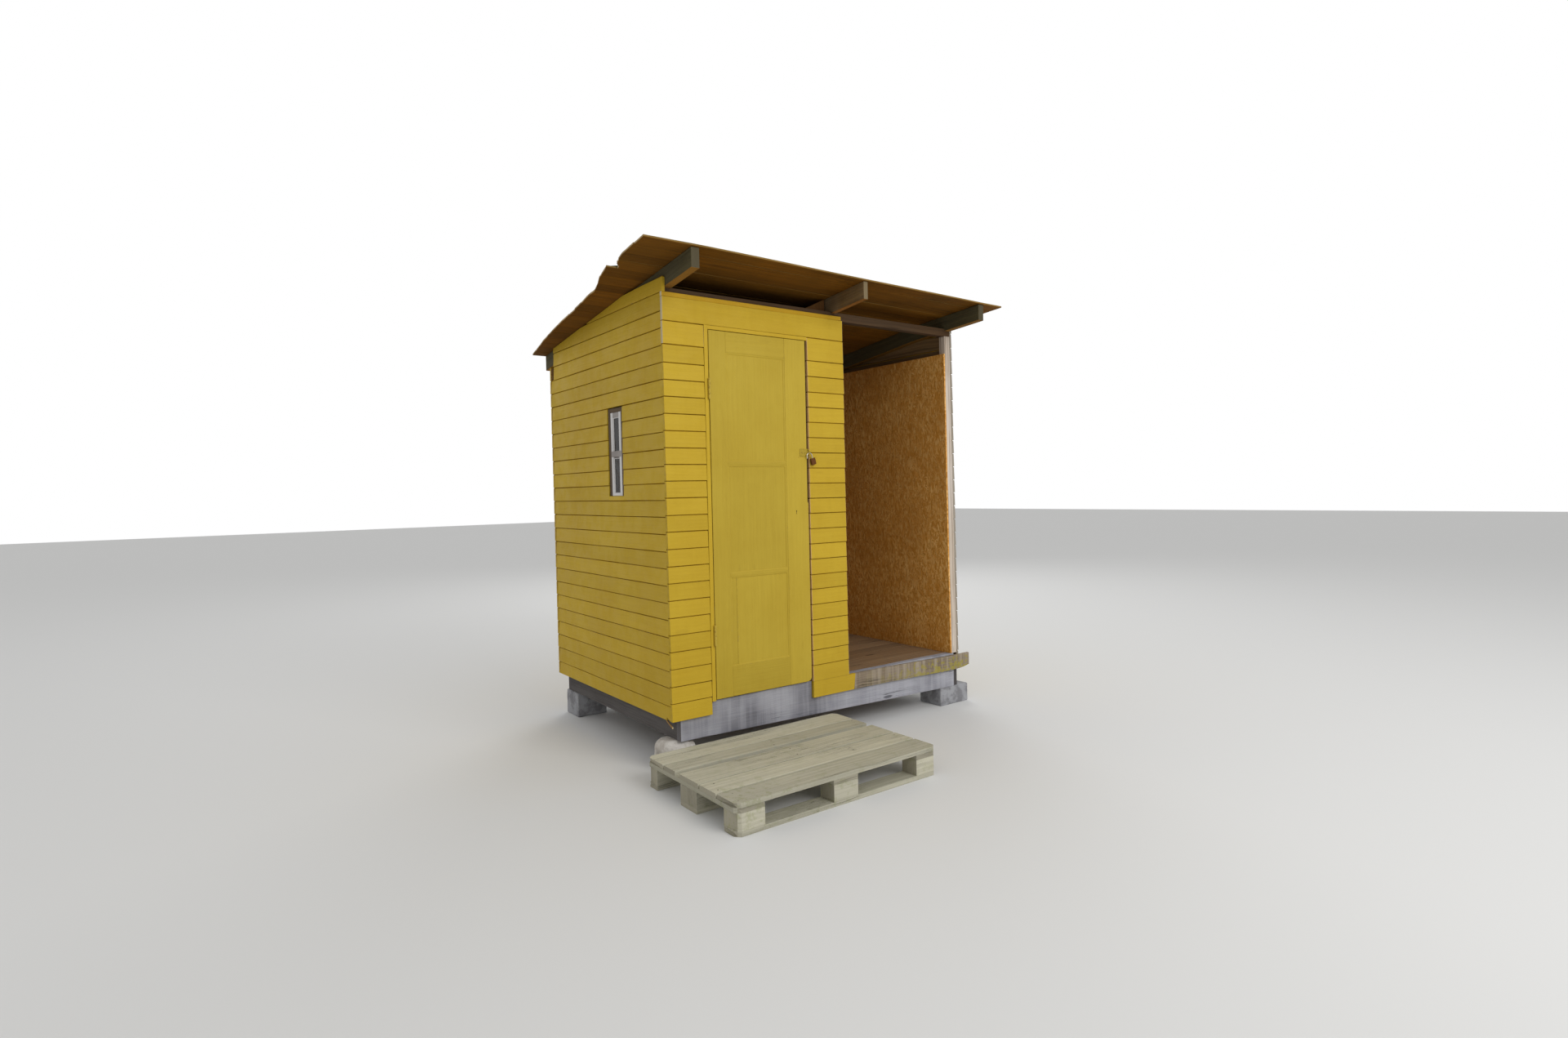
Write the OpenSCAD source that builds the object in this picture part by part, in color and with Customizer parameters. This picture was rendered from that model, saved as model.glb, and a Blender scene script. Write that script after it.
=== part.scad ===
// Small wooden outhouse: a closed cabin and an open storage bay under one
// mono-pitch roof that is high at the front, with a pallet as the entrance step.
// Origin: on the level ground, in the middle of the whole plan. X runs right
// along the front, Y runs back, Z runs up. Millimetres.
// Places are worked out from the front left corner of the boarded walls.

/* [Plan] */
// Width over the side walls' boards
hut_w = 2146; // [2000:2:2400]
// Depth over the front and back boards
hut_d = 1545; // [1300:5:1800]
// Width of the boards left of the door
front_left_w = 240; // [200:5:320]
// Width of the boards right of the door
front_right_w = 271; // [230:1:330]
// Thickness of the wall boards
siding_t = 20; // [16:1:24]
// Side of the square studs and posts
stud = 48; // [40:1:56]

/* [Base] */
// Height of the sills' underside above the ground
ground_gap = 155; // [130:5:220]
// Height of the front sill's left end; the sill ends level with the floor
sill_h = 183; // [150:1:210]
// Thickness of the sills
sill_t = 45; // [36:1:60]
// Distance from the wall boards' face to the left and right sills
sill_inset = 58; // [40:1:80]
// Width and length of the stub beside the front sill's right end
stub_w = 35; // [20:1:45]
stub_l = 300; // [100:10:400]
// Thickness of the floor boards
floor_t = 28; // [20:1:32]
// Width of each floor joist
joist_t = 45; // [36:1:60]
// How far the wall boards hang below the floor's top
siding_drop = 67; // [40:1:100]
// Height of the long lowest board of the front's right part
bottom_board_h = 95; // [80:1:110]
// How far that board runs on past the right wall
bottom_board_over = 110; // [40:5:160]

/* [Door] */
// Width of the door leaf
door_w = 634; // [560:2:700]
// Height of the door leaf
door_h = 1936; // [1700:4:2000]
// Thickness of the door's stiles and rails
door_t = 38; // [30:1:42]
// Width of the hinge stile
hinge_stile_w = 104; // [80:1:130]
// Width of the lock stile
lock_stile_w = 146; // [100:1:160]
// Height of the top rail
top_rail_h = 109; // [80:1:130]
// Height of the bottom rail
bottom_rail_h = 160; // [100:2:200]
// Height of each of the two slim bars between the panels
bar_h = 16; // [12:1:40]
// Height of the upper panel, and of the middle one
panel_h = 577; // [420:1:600]
// Thickness of the panels
panel_t = 12; // [8:1:16]
// Depth of the panels' faces behind the leaf's face
panel_recess = 9; // [4:1:12]
// Radius of the worn lower corner on the lock side
worn_corner_r = 28; // [10:1:45]
// Gap under the leaf
door_foot_gap = 7; // [5:1:20]
// Gap over the leaf
door_head_gap = 6; // [5:1:15]
// Gap on the hinge side
hinge_gap = 8; // [7:1:12]
// Gap between the leaf and the boards on the lock side
lock_gap = 18; // [8:1:30]
// Gap between the leaf's edge and the lock side's post
post_gap = 8; // [7:1:12]
// Gap between the leaf's back and the stops
stop_gap = 5; // [5:0.5:10]
// Width of the casing strip beside the leaf
casing_w = 19; // [14:1:30]
// Height of the casing strip over the leaf
casing_h = 18; // [12:1:40]
// Size of the square stop strips
stop_w = 20; // [12:1:28]

/* [Hinges and lock] */
// Outer radius of the hinge barrels
barrel_r = 6.5; // [5.5:0.1:7]
// Radius of the hinge pins
pin_r = 3.5; // [2.5:0.1:4]
// Running clearance round a pin
pin_play = 0.08; // [0.05:0.01:0.1]
// Length of a closed hinge
hinge_len = 108; // [80:1:140]
// Thickness of a hinge plate
hinge_plate_t = 1.5; // [1:0.1:2]
// Depth of a hinge plate along the leaf's edge
hinge_plate_w = 30; // [20:1:34]
// Upper hinge's middle below the leaf's top
upper_hinge_drop = 305; // [200:5:400]
// Lower hinge's middle above the leaf's foot
lower_hinge_rise = 339; // [200:1:400]
// Staple's height above the leaf's foot
hasp_rise = 1305; // [1000:5:1400]
// Length of the hasp plate
hasp_len = 62; // [45:1:80]
// How far the hasp plate reaches past the leaf's edge, over the gap
hasp_reach = 11; // [4:1:12]
// Height of the hasp plate
hasp_h = 44; // [38:1:56]
// Thickness of the hasp plate
hasp_t = 2.5; // [2:0.1:4]
// Radius of the staple's loop, at the middle of its rod
staple_r = 16; // [15:0.5:20]
// Radius of the staple's rod
staple_rod_r = 2.5; // [2:0.1:3]
// Radius of the padlock's bow, at the middle of its rod
bow_r = 18; // [15:0.5:22]
// Radius of the bow's rod
bow_rod_r = 3; // [2.5:0.1:3.2]
// Length of the bow's straight legs
bow_leg = 16; // [10:1:24]
// Width of the padlock's case
lock_w = 32; // [28:1:44]
// Height of the padlock's case
lock_h = 38; // [32:1:54]
// Thickness of the padlock's case
lock_t = 13; // [11:0.5:14]
// Tilt at which the open padlock hangs
lock_tilt = 15; // [0:1:20]

/* [Front top] */
// Height of the wide board over the door
fascia_h = 95; // [80:1:130]
// Height of the narrow board on top of it
fascia_cap_h = 47; // [30:1:60]
// Setback of the narrow board's face, and of its right end
fascia_cap_step = 8; // [4:1:12]
// Clear height between the narrow board and the rafters
rafter_clear = 26; // [4:1:40]

/* [Roof] */
// Fall of the roof towards the back, in degrees
roof_slope = 7; // [5:0.5:10]
// Height of a rafter
rafter_h = 96; // [80:1:110]
// Thickness of the left and right rafters
rafter_t = 45; // [36:1:48]
// Thickness of the middle rafter
middle_rafter_t = 30; // [22:1:32]
// Depth of the rafters' seats on the plates
seat_depth = 2; // [1:0.5:10]
// Thickness of the roof boards
roof_board_t = 12; // [11:1:24]
// Thickness of the roofing felt
felt_t = 4; // [2:0.5:6]
// Roof boards past the front boards
front_over = 275; // [150:5:350]
// Roof boards past the back boards
back_over = 125; // [60:5:200]
// Roof boards past the left wall, at the front
left_over_front = 240; // [150:5:300]
// Roof boards past the left wall, at the back
left_over_back = 110; // [80:5:240]
// Roof boards past the right wall
right_over = 150; // [100:5:300]
// How far the felt stays back from the boards' left and right ends
felt_setback = 12; // [5:1:40]
// How far the felt stays back from the boards' front and back edges
felt_edge = 20; // [5:1:40]
// Gap between the partition and the roof boards, and over the side walls' front corners
wall_top_gap = 47; // [20:1:60]
// Gap that is left over the side walls farther back
side_top_gap = 2; // [1:0.5:10]
// How far back the side walls' top closes to that gap
side_top_run = 450; // [200:10:700]
// How far the left wall's top boards stop short of the back corner
short_boards = 45; // [0:5:90]

/* [Window] */
// Width of the window opening
window_w = 180; // [150:5:260]
// Height of the window opening
window_h = 492; // [400:4:560]
// Front corner to the window opening
window_from_front = 495; // [420:5:600]
// Floor to the window opening's foot
window_rise = 1090; // [1000:2:1200]
// Width of the window lining
lining_w = 24; // [18:1:32]
// Depth of the window lining
lining_d = 60; // [50:1:66]
// Width of the sash's upright bars and its top bar
sash_bar = 29; // [24:1:40]
// Height of the sash's lowest bar
sash_foot_h = 15; // [12:1:40]
// Thickness of the sash
sash_t = 28; // [20:1:36]
// Depth of the sash behind the wall boards' face
sash_setback = 6; // [2:1:16]
// Height of the sash's middle bar
sash_middle_h = 25; // [16:1:32]
// How far the middle bar sits below the sash's middle
sash_middle_drop = 9; // [0:1:20]
// Depth of the glass behind the sash's face
glass_depth = 6; // [3:0.5:12]
// Thickness of the glass
glass_t = 4; // [3:0.5:6]

/* [Bay] */
// Thickness of the strand board lining
strand_t = 12; // [9:1:18]
// How far the strand board lining ends below the front plate
strand_drop = 115; // [20:5:400]
// Width of the short board behind the ventilation gap
gap_board_w = 148; // [100:2:180]
// Height of that short board
gap_board_h = 128; // [100:1:132]

/* [Stones and blocks] */
// Radius of the natural stone under the front left corner
stone_r = 105; // [85:5:130]
// Width of the block under the front right corner
front_block_w = 264; // [200:2:320]
// Height of that block, and of the front sill's underside over it
front_block_h = 118; // [90:1:150]
// How far that block stands out past the right sill
front_block_out = 169; // [0:1:200]
// Depth of every block
block_d = 190; // [150:5:230]
// Width of each block at the back
back_block_w = 200; // [150:5:260]
// Chamfer on the blocks' upright edges
block_chamfer = 8; // [3:1:15]

/* [Step] */
// Length of the pallet
step_l = 1200; // [1000:20:1220]
// Depth of the pallet
step_d = 800; // [600:20:840]
// Left end of the pallet, left of the wall's corner
step_left = 165; // [0:5:250]
// Gap between the pallet and the wall boards' face
step_back_gap = 35; // [10:5:100]
// Thickness of every pallet board
pallet_board_t = 22; // [18:1:24]
// Height of the pallet's blocks
pallet_block_h = 78; // [70:1:90]
// Width of the cross boards and of the middle runner
pallet_board_w = 145; // [120:1:150]
// Width of the outer runners
narrow_board_w = 100; // [90:1:120]
// Cut off the pallet's deck corners
pallet_corner = 25; // [10:1:40]

/* [Hidden] */
$fn = 48;
// Overlap of joined shapes
eps = 0.01;
// Hairline between a sloping face and what it lies on
slope_gap = 0.05;

// Hairline between strips that meet at a corner
strip_gap = 0.3;

// Middle of the whole plan
low_x = min(-left_over_front, -step_left);
high_x = hut_w + max(right_over, bottom_board_over);
low_y = min(-front_over, -step_back_gap - step_d);
high_y = hut_d + back_over;
middle_x = (low_x + high_x) / 2;
middle_y = (low_y + high_y) / 2;

// Heights
floor_top = ground_gap + sill_h;
floor_under = floor_top - floor_t;
siding_foot = floor_top - siding_drop;
door_foot = floor_top + door_foot_gap;
door_top = door_foot + door_h;
head_z = door_top + door_head_gap;
fascia_foot = head_z + casing_h;
cap_foot = fascia_foot + fascia_h;
fascia_top = cap_foot + fascia_cap_h;
roof_at_front = fascia_top + rafter_clear + rafter_h / cos(roof_slope);

// Places along the front
casing_x = front_left_w;
hinge_jamb_x = casing_x + casing_w;
door_x = hinge_jamb_x + hinge_gap;
door_right = door_x + door_w;
right_boards_x = door_right + lock_gap;
cabin_right = right_boards_x + front_right_w;
partition_x = cabin_right - siding_t - siding_t;
lock_post_x = door_right + post_gap;

// Places along the depth
frame_back = hut_d - siding_t;
back_stud_y = frame_back - stud;
front_stud_back = siding_t + stud;

// Places at the right wall
right_frame_x = hut_w - siding_t;
right_stud_x = right_frame_x - stud;
strand_x = right_stud_x - strand_t;

// Heights of the roof boards' underside and of the rafters' underside
function roof_z(y) = roof_at_front - y * tan(roof_slope);
function rafter_z(y) = roof_z(y) - rafter_h / cos(roof_slope);
front_plate_top = rafter_z(siding_t) + seat_depth;
back_plate_top = rafter_z(back_stud_y) + seat_depth;
front_plate_foot = front_plate_top - stud;
back_plate_foot = back_plate_top - stud;
back_wall_top = rafter_z(hut_d) - rafter_clear / 2;

// Colours
old_yellow = "goldenrod";
raw_wood = "burlywood";
grey_wood = "darkgray";
brown_wood = "sienna";

// Moves what was placed from the walls' front left corner to the middle of the plan
module centred() {
    translate([-middle_x, -middle_y, 0]) children();
}

// A box from one corner to the other
module box(low, high) {
    translate(low) cube(high - low);
}

// An outline in the plane of a side wall, drawn as [y, z] and carried along X
module side_prism(x0, x1, outline) {
    translate([x0, 0, 0]) rotate([90, 0, 90]) linear_extrude(x1 - x0) polygon(outline);
}

// An outline in the plane of the front, drawn as [x, z] and carried along Y
module front_prism(y0, y1) {
    translate([0, y1, 0]) rotate([90, 0, 0]) linear_extrude(y1 - y0) children();
}

// A plate over the posts, along the whole front or back
module plate(y0, foot) {
    box([siding_t, y0, foot], [right_frame_x, y0 + stud, foot + stud]);
}

module both_plates() {
    plate(siding_t, front_plate_foot);
    plate(back_stud_y, back_plate_foot);
}

// A stud at the front and one at the back, each up to its plate
module stud_pair(x0) {
    box([x0, siding_t, floor_top], [x0 + stud, front_stud_back, front_plate_foot]);
    box([x0, back_stud_y, floor_top], [x0 + stud, frame_back, back_plate_foot]);
}

// A squared block with chamfered upright edges
module chamfered_block(x0, y0, w, d, z0, z1) {
    c = block_chamfer;
    translate([x0, y0, z0]) linear_extrude(z1 - z0)
        polygon([[c, 0], [w - c, 0], [w, c], [w, d - c], [w - c, d], [c, d], [0, d - c], [0, c]]);
}

// Stones and blocks that carry the sills

front_block_x = hut_w - sill_inset - front_block_w + front_block_out;
// Right edge of the ground under the stone, from where the front sill grows deeper
stone_right = sill_inset + stone_r * 1.4;

// A rounded stone at the front left
module natural_stones() {
    cx = sill_inset + stone_r / 4;
    cy = siding_t + stone_r * 0.9;
    color("gainsboro") centred() hull() {
        translate([cx, cy, 0]) cylinder(r = stone_r * 0.9, h = 8, $fn = 18);
        translate([cx - 6, cy + 4, ground_gap * 0.45]) cylinder(r = stone_r, h = 6, $fn = 18);
        translate([cx + 4, cy, ground_gap - 6]) cylinder(r = stone_r * 0.72, h = 6, $fn = 18);
    }
}

module ground_blocks() {
    color("slategray") centred() {
        chamfered_block(front_block_x, siding_t - 5, front_block_w, block_d, 0, front_block_h);
        chamfered_block(sill_inset - 10, frame_back - block_d + 20, back_block_w, block_d, 0, ground_gap);
        chamfered_block(hut_w - sill_inset + 10 - back_block_w, frame_back - block_d + 20,
            back_block_w, block_d, 0, ground_gap);
    }
}

// Sills, joists and floors

// The front sill grows deeper to the right, down to the block
module sill_front() {
    color(grey_wood) centred() front_prism(siding_t, siding_t + sill_t) polygon([
        [sill_inset, ground_gap], [stone_right, ground_gap],
        [front_block_x, front_block_h], [right_frame_x, front_block_h],
        [right_frame_x, floor_top], [sill_inset, floor_top]]);
}

module sill_back() {
    color(grey_wood) centred() box([sill_inset, frame_back - sill_t, ground_gap],
        [hut_w - sill_inset, frame_back, floor_under]);
}

// The side sills, and a short stub on the front right block beside the front sill's end
module sill_sides() {
    color(grey_wood) centred() {
        for (x0 = [sill_inset, hut_w - sill_inset - sill_t])
            box([x0, siding_t + sill_t, ground_gap], [x0 + sill_t, frame_back - sill_t, floor_under]);
        box([right_frame_x, siding_t + 6, front_block_h],
            [right_frame_x + stub_w, siding_t + stub_l, floor_top - bottom_board_h - 2]);
    }
}

module floor_joists() {
    first = partition_x / 2;
    second = (partition_x + hut_w) / 2;
    color(raw_wood) centred() for (middle = [first, second])
        box([middle - joist_t / 2, siding_t + sill_t, ground_gap + sill_t / 2],
            [middle + joist_t / 2, frame_back - sill_t, floor_under]);
}

module cabin_floor() {
    color(raw_wood) centred() box([siding_t, siding_t + sill_t, floor_under],
        [partition_x, frame_back, floor_top]);
}

module bay_floor() {
    color("rosybrown") centred() box([partition_x, siding_t + sill_t, floor_under],
        [right_frame_x, frame_back, floor_top]);
}

module bottom_board_right() {
    color(old_yellow) centred() box([right_boards_x, 0, floor_top - bottom_board_h],
        [hut_w + bottom_board_over, siding_t, floor_top]);
}

// Frame of studs and plates

// Studs at the left corners and at the partition
module wall_posts() {
    color(raw_wood) centred() {
        stud_pair(siding_t);
        stud_pair(partition_x - stud);
    }
}

module bay_posts() {
    color("gainsboro") centred() stud_pair(right_stud_x);
}

module door_posts() {
    color(brown_wood) centred() for (x0 = [hinge_jamb_x - stud, lock_post_x])
        box([x0, siding_t, floor_top], [x0 + stud, front_stud_back, front_plate_foot]);
}

module door_head() {
    color(brown_wood) centred() box([hinge_jamb_x, siding_t, head_z],
        [lock_post_x, front_stud_back, head_z + stud]);
}

// Strips that the closed leaf stops in front of
module door_stops() {
    y0 = door_t + stop_gap;
    color(brown_wood) centred() {
        box([hinge_jamb_x, y0, floor_top], [hinge_jamb_x + stop_w, y0 + stop_w, head_z]);
        box([lock_post_x - stop_w, y0, floor_top], [lock_post_x, y0 + stop_w, head_z]);
        box([hinge_jamb_x + stop_w + strip_gap, y0, head_z - stop_w],
            [lock_post_x - stop_w - strip_gap, y0 + stop_w, head_z]);
    }
}

module window_studs() {
    color(raw_wood) centred() for (y0 = [window_from_front - stud, window_from_front + window_w])
        side_prism(siding_t, siding_t + stud, [
            [y0, floor_top], [y0 + stud, floor_top],
            [y0 + stud, rafter_z(y0 + stud) - slope_gap], [y0, rafter_z(y0) - slope_gap]]);
}

module front_plate() {
    color(brown_wood) centred() plate(siding_t, front_plate_foot);
}

module back_plate() {
    color(brown_wood) centred() plate(back_stud_y, back_plate_foot);
}

// A rafter with plumb ends, cut level where it sits on the plates
module rafter(x0, t) {
    y0 = 10 - front_over;
    y1 = hut_d + back_over - 10;
    difference() {
        side_prism(x0, x0 + t,
            [[y0, rafter_z(y0)], [y1, rafter_z(y1)], [y1, roof_z(y1) - slope_gap], [y0, roof_z(y0) - slope_gap]]);
        both_plates();
    }
}

module rafters() {
    color(brown_wood) centred() {
        rafter(siding_t, rafter_t);
        rafter(partition_x - 2 - middle_rafter_t, middle_rafter_t);
        rafter(right_frame_x - rafter_t, rafter_t);
    }
}

module gap_board() {
    x1 = partition_x - stud + 6;
    color("saddlebrown") centred() box([x1 - gap_board_w, front_stud_back, front_plate_foot],
        [x1, front_stud_back + siding_t, front_plate_foot + gap_board_h]);
}

// Boarded walls

module front_wall_left() {
    color(old_yellow) centred() box([0, 0, siding_foot], [front_left_w, siding_t, fascia_foot]);
}

module front_wall_right() {
    color(old_yellow) centred() box([right_boards_x, 0, floor_top], [cabin_right, siding_t, fascia_foot]);
}

module fascia() {
    color(old_yellow) centred() box([0, 0, fascia_foot], [cabin_right - 5, siding_t, cap_foot]);
}

module fascia_cap() {
    color("darkgoldenrod") centred() box([0, fascia_cap_step / 2, cap_foot],
        [cabin_right - 5 - fascia_cap_step, siding_t, fascia_top]);
}

module door_casing() {
    color(old_yellow) centred() {
        box([casing_x, 0, floor_top], [hinge_jamb_x, siding_t, fascia_foot]);
        box([hinge_jamb_x + strip_gap, 2, head_z], [right_boards_x, siding_t, fascia_foot]);
    }
}

// Height of a side wall's top: it closes up to the roof boards from the front corner backwards
function side_gap(y) = max(side_top_gap, wall_top_gap - y * (wall_top_gap - side_top_gap) / side_top_run);
function side_top(y) = roof_z(y) - side_gap(y);

// Outline of a side wall, with a level foot
function side_outline(y0, y1, foot) = [
    [y0, foot], [y1, foot], [y1, side_top(y1)],
    if (y1 > side_top_run) [side_top_run, side_top(side_top_run)],
    [y0, side_top(y0)]];

module left_wall() {
    color(old_yellow) centred() difference() {
        union() {
            side_prism(0, siding_t, side_outline(siding_t, frame_back, siding_foot));
            side_prism(0, siding_t, side_outline(0, siding_t + eps, fascia_top));
        }
        box([-1, window_from_front, floor_top + window_rise],
            [siding_t + 1, window_from_front + window_w, floor_top + window_rise + window_h]);
        box([-1, frame_back - short_boards, back_wall_top], [siding_t + 1, frame_back + 1, roof_at_front]);
    }
}

module right_wall() {
    color(old_yellow) centred() side_prism(right_frame_x, hut_w, side_outline(siding_t, frame_back, siding_foot));
}

module back_wall() {
    color(old_yellow) centred() box([0, frame_back, siding_foot], [hut_w, hut_d, back_wall_top]);
}

module partition_wall() {
    color(raw_wood) centred() difference() {
        side_prism(partition_x, partition_x + siding_t, [
            [siding_t, floor_top], [frame_back, floor_top],
            [frame_back, roof_z(frame_back) - wall_top_gap], [siding_t, roof_z(siding_t) - wall_top_gap]]);
        both_plates();
    }
}

module strand_board() {
    color("peru") centred() box([strand_x, siding_t, floor_top],
        [right_stud_x, back_stud_y, front_plate_foot - strand_drop]);
}

// Window in the left wall

window_y0 = window_from_front;
window_y1 = window_from_front + window_w;
window_z0 = floor_top + window_rise;
window_z1 = window_z0 + window_h;
sash_top = window_z1 - lining_w;
bar_z = (window_z0 + sash_top) / 2 - sash_middle_drop - sash_middle_h / 2;
pane_rows = [[window_z0 + sash_foot_h, bar_z], [bar_z + sash_middle_h, sash_top - sash_bar]];

module window_lining() {
    color("dimgray") centred() difference() {
        box([sash_setback, window_y0, window_z0], [sash_setback + lining_d, window_y1, window_z1]);
        box([0, window_y0 + lining_w, window_z0 - 1],
            [lining_d * 2, window_y1 - lining_w, window_z1 - lining_w]);
    }
}

module window_sash() {
    y0 = window_y0 + lining_w;
    y1 = window_y1 - lining_w;
    color("lightgray") centred() difference() {
        box([sash_setback, y0, window_z0], [sash_setback + sash_t, y1, sash_top]);
        for (row = pane_rows)
            box([0, y0 + sash_bar, row[0]], [hut_w, y1 - sash_bar, row[1]]);
    }
}

module window_glass() {
    y0 = window_y0 + lining_w + sash_bar;
    y1 = window_y1 - lining_w - sash_bar;
    x0 = sash_setback + glass_depth;
    color("dimgray") centred() for (row = pane_rows)
        box([x0, y0, row[0]], [x0 + glass_t, y1, row[1]]);
}

// Door

panel_x0 = door_x + hinge_stile_w;
panel_x1 = door_right - lock_stile_w;
upper_z1 = door_top - top_rail_h;
middle_z1 = upper_z1 - panel_h - bar_h;
lower_z1 = middle_z1 - panel_h - bar_h;
lower_z0 = door_foot + bottom_rail_h;
panel_rows = [[upper_z1 - panel_h, upper_z1], [middle_z1 - panel_h, middle_z1], [lower_z0, lower_z1]];

module door_leaf() {
    color(old_yellow) centred() front_prism(0, door_t) difference() {
        translate([door_x, door_foot]) square([door_w, door_h]);
        for (row = panel_rows)
            translate([panel_x0, row[0]]) square([panel_x1 - panel_x0, row[1] - row[0]]);
        translate([door_right - worn_corner_r, door_foot + worn_corner_r]) difference() {
            translate([0, -worn_corner_r - 1]) square([worn_corner_r + 1, worn_corner_r + 1]);
            circle(r = worn_corner_r);
        }
    }
}

module door_panels() {
    color(old_yellow) centred() for (row = panel_rows)
        box([panel_x0, panel_recess, row[0]], [panel_x1, panel_recess + panel_t, row[1]]);
}

// Hinges: the lower half of each barrel and its pin stay on the post

pin_x = door_x - hinge_gap / 2 - 1;
pin_y = -barrel_r - 1.5;
half_hinge = hinge_len / 2;
hinge_rows = [door_foot + lower_hinge_rise, door_top - upper_hinge_drop];

module hinge_pins() {
    color("gold") centred() for (z = hinge_rows) union() {
        translate([pin_x, pin_y, z - half_hinge]) cylinder(r = barrel_r, h = half_hinge - 0.3);
        translate([pin_x, pin_y, z - half_hinge]) cylinder(r = pin_r, h = hinge_len);
        box([hinge_jamb_x, pin_y, z - half_hinge],
            [hinge_jamb_x + hinge_plate_t, hinge_plate_w, z - 0.3]);
    }
}

module hinge_barrels() {
    color("gold") centred() for (z = hinge_rows) difference() {
        union() {
            translate([pin_x, pin_y, z]) cylinder(r = barrel_r, h = half_hinge);
            box([door_x - hinge_plate_t, pin_y, z], [door_x, hinge_plate_w, z + half_hinge]);
        }
        translate([pin_x, pin_y, z - 1]) cylinder(r = pin_r + pin_play, h = hinge_len);
    }
}

// Hasp plate with its staple, and the open padlock that hangs in it

hasp_z = door_foot + hasp_rise;
hasp_x = door_right + hasp_reach;
staple_x = hasp_x - staple_rod_r - 3;
bow_y = -hasp_t - staple_r + bow_rod_r + staple_rod_r + 0.6;
// Height at which the bow rests on the staple's lower rod
staple_reach = -hasp_t - bow_y;
bow_hang = sqrt(pow(staple_r - staple_rod_r - bow_rod_r - 0.3, 2) - pow(staple_reach, 2));
bow_top = hasp_z - bow_hang;

module door_hasp() {
    color("gray") centred() {
        box([hasp_x - hasp_len, -hasp_t, hasp_z - hasp_h / 2],
            [hasp_x, 0, hasp_z + hasp_h / 2]);
        translate([staple_x, -hasp_t + eps, hasp_z]) rotate([0, 90, 0]) rotate([0, 0, 180])
            rotate_extrude(angle = 180) translate([staple_r, 0]) circle(r = staple_rod_r, $fn = 24);
    }
}

module hung() {
    translate([staple_x, bow_y, bow_top]) rotate([0, -lock_tilt, 0]) children();
}

module padlock_bow() {
    color("silver") centred() hung() translate([0, 0, -bow_r]) {
        rotate([90, 0, 0]) rotate_extrude(angle = 180) translate([bow_r, 0])
            circle(r = bow_rod_r, $fn = 24);
        translate([bow_r, 0, -bow_leg]) cylinder(r = bow_rod_r, h = bow_leg + eps, $fn = 24);
        translate([-bow_r, 0, -bow_leg / 2]) cylinder(r = bow_rod_r, h = bow_leg / 2 + eps, $fn = 24);
    }
}

module padlock_case() {
    left = bow_r - lock_w / 2;
    color("saddlebrown") centred() hung() translate([0, 0, -bow_r - bow_leg])
        box([left, -lock_t / 2, -lock_h], [left + lock_w, lock_t / 2, 0]);
}

// Roof

// Slab between two heights above the roof boards' underside, cut to the roof's plan
module roof_layer(z0, z1, setback, edge) {
    y0 = edge - front_over;
    y1 = hut_d + back_over - edge;
    rise0 = z0 / cos(roof_slope);
    rise1 = z1 / cos(roof_slope);
    intersection() {
        side_prism(-left_over_front - 50, hut_w + right_over + 50,
            [[y0, roof_z(y0) + rise0], [y1, roof_z(y1) + rise0],
             [y1, roof_z(y1) + rise1], [y0, roof_z(y0) + rise1]]);
        linear_extrude(roof_at_front * 2) polygon([
            [setback - left_over_front, y0], [hut_w + right_over - setback, y0],
            [hut_w + right_over - setback, y1], [setback - left_over_back, y1]]);
    }
}

module roof_boards() {
    color(brown_wood) centred() roof_layer(0, roof_board_t, 0, 0);
}

module roof_felt() {
    color("darkslategray") centred() roof_layer(roof_board_t + slope_gap, roof_board_t + felt_t, felt_setback, felt_edge);
}

// Pallet used as the entrance step

step_x = -step_left;
step_y = -step_back_gap - step_d;
block_foot = pallet_board_t;
cross_foot = block_foot + pallet_block_h;
deck_foot = cross_foot + pallet_board_t;
// Where each deck board starts and how wide it is, as shares of the pallet's depth, front to back
deck_rows = [[0, 151], [163, 136], [311, 168], [520, 110], [640, 160]] / 800 * step_d;
// Where the three blocks, runners and cross boards of each direction start, and how wide they are
across = [[0, narrow_board_w], [(step_d - pallet_board_w) / 2, pallet_board_w],
          [step_d - narrow_board_w, narrow_board_w]];
along = [0, (step_l - pallet_board_w) / 2, step_l - pallet_board_w];

// Plan of the whole pallet with its corners cut off
module step_plan() {
    c = pallet_corner;
    polygon([[c, 0], [step_l - c, 0], [step_l, c], [step_l, step_d - c],
             [step_l - c, step_d], [c, step_d], [0, step_d - c], [0, c]]);
}

module step_layer(z0, z1) {
    color("darkkhaki") centred() translate([step_x, step_y, z0]) linear_extrude(z1 - z0) intersection() {
        step_plan();
        children();
    }
}

module step_deck() {
    step_layer(deck_foot, deck_foot + pallet_board_t)
        for (row = deck_rows) translate([0, row[0]]) square([step_l, row[1]]);
}

module step_cross_boards() {
    step_layer(cross_foot, deck_foot)
        for (x = along) translate([x, 0]) square([pallet_board_w, step_d]);
}

module step_blocks() {
    step_layer(block_foot, cross_foot)
        for (x = along) for (row = across)
            translate([x, row[0]]) square([pallet_board_w, row[1]]);
}

module step_runners() {
    step_layer(0, block_foot)
        for (row = across) translate([0, row[0]]) square([step_l, row[1]]);
}

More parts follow.
